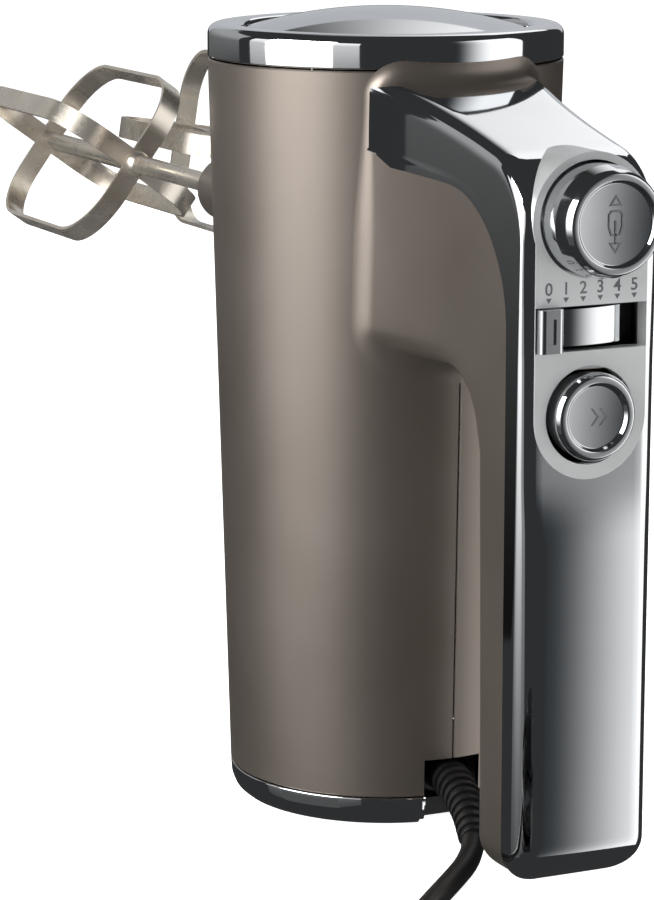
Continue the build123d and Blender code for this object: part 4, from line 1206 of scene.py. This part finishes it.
# %% Floor
FLOOR_DROP, FLOOR_GLOW = -0.0002, 0.97
FLOOR = worn_finish("matt_studio_floor", ("fafafa", "ffffff"), 0, (0.75, 0.85), 60, 0.02, 3)
floor_shader = FLOOR.node_tree.nodes["Principled BSDF"]
floor_shader.inputs["Emission Color"].default_value = linear("ffffff")
floor_shader.inputs["Emission Strength"].default_value = FLOOR_GLOW
corners = [(x, y, FLOOR_DROP) for x, y in ((-6, -6), (6, -6), (6, 8), (-6, 8))]
floor_mesh = bpy.data.meshes.new("floor")
floor_mesh.from_pydata(corners, [], [(0, 1, 2, 3)])
floor_mesh.materials.append(FLOOR)
floor = bpy.data.objects.new("floor", floor_mesh)
floor.visible_glossy = False
scene.collection.objects.link(floor)
floor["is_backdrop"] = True
print("floor material", FLOOR.name)


# %% [markdown]
# One large soft box hangs above. It throws the soft shadow that sets the mixer on the
# floor. It is hidden from reflections too, where it would show as a hard square.

# %% Light
def soft_box(name, centre, target, size, power):
    """A rectangular soft light aimed at a point."""
    light = bpy.data.lights.new(name, "AREA")
    light.shape, light.size, light.size_y, light.energy = "RECTANGLE", size[0], size[1], power
    lamp = bpy.data.objects.new(name, light)
    lamp.location = centre
    lamp.rotation_euler = (Vector(target) - Vector(centre)).to_track_quat("-Z", "Y").to_euler()
    lamp.visible_glossy = False
    scene.collection.objects.link(lamp)
    return lamp


top_light = soft_box("top_box", (0.1, -0.3, 1.8), (0, 0, 0), (1.6, 1.6), 14)
print("soft box", top_light.data.energy, "W")

# %% [markdown]
# The world is white where the camera looks past the mixer, and dim for every other ray:
# a white room all round would wash the chrome out.

# %% World
ROOM_GLOW = 0.13
world = bpy.data.worlds.new("white_studio")
world.use_nodes = True
sky = world.node_tree
backdrop = sky.nodes["Background"]
backdrop.inputs["Color"].default_value = linear("ffffff")
backdrop.inputs["Strength"].default_value = 1.0
dim_room = add_node(sky, "ShaderNodeBackground", Color=linear("8a8c8e"), Strength=ROOM_GLOW)
seen = sky.nodes.new("ShaderNodeLightPath")
either = add_node(sky, "ShaderNodeMixShader", Fac=seen.outputs["Is Camera Ray"])
sky.links.new(dim_room.outputs[0], either.inputs[1])
sky.links.new(backdrop.outputs[0], either.inputs[2])
sky.links.new(either.outputs[0], sky.nodes["World Output"].inputs["Surface"])
scene.world = world
scene.view_settings.view_transform = "Standard"
print("world", world.name)

# %% [markdown]
# The camera stands well back with a long lens, a little above the mixer and to its
# left, which keeps the upright lines nearly parallel.

# %% Camera
view_camera = bpy.data.cameras.new("camera")
view_camera.lens, view_camera.sensor_width = 138.4, 36
view_camera.clip_end = 40
camera = bpy.data.objects.new("camera", view_camera)
camera.location = (-0.3801, -0.7805, 0.260)
camera.rotation_euler = (radians(78.8), 0, radians(-25))
scene.collection.objects.link(camera)
scene.camera = camera
print("camera distance", round(camera.location.length, 2), "m")

# %% [markdown]
# ## Size of the finished model
# The bounds are measured again and printed beside the CAD's.

# %% Measure and finish
seen_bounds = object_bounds()
sizes = {
    "cad": [list(cad_bounds[0]), list(cad_bounds[1])],
    "visual": [list(seen_bounds[0]), list(seen_bounds[1])],
}
for label, corners in sizes.items():
    print(label, "bounds in mm", [[round(v / MM, 1) for v in corner] for corner in corners])
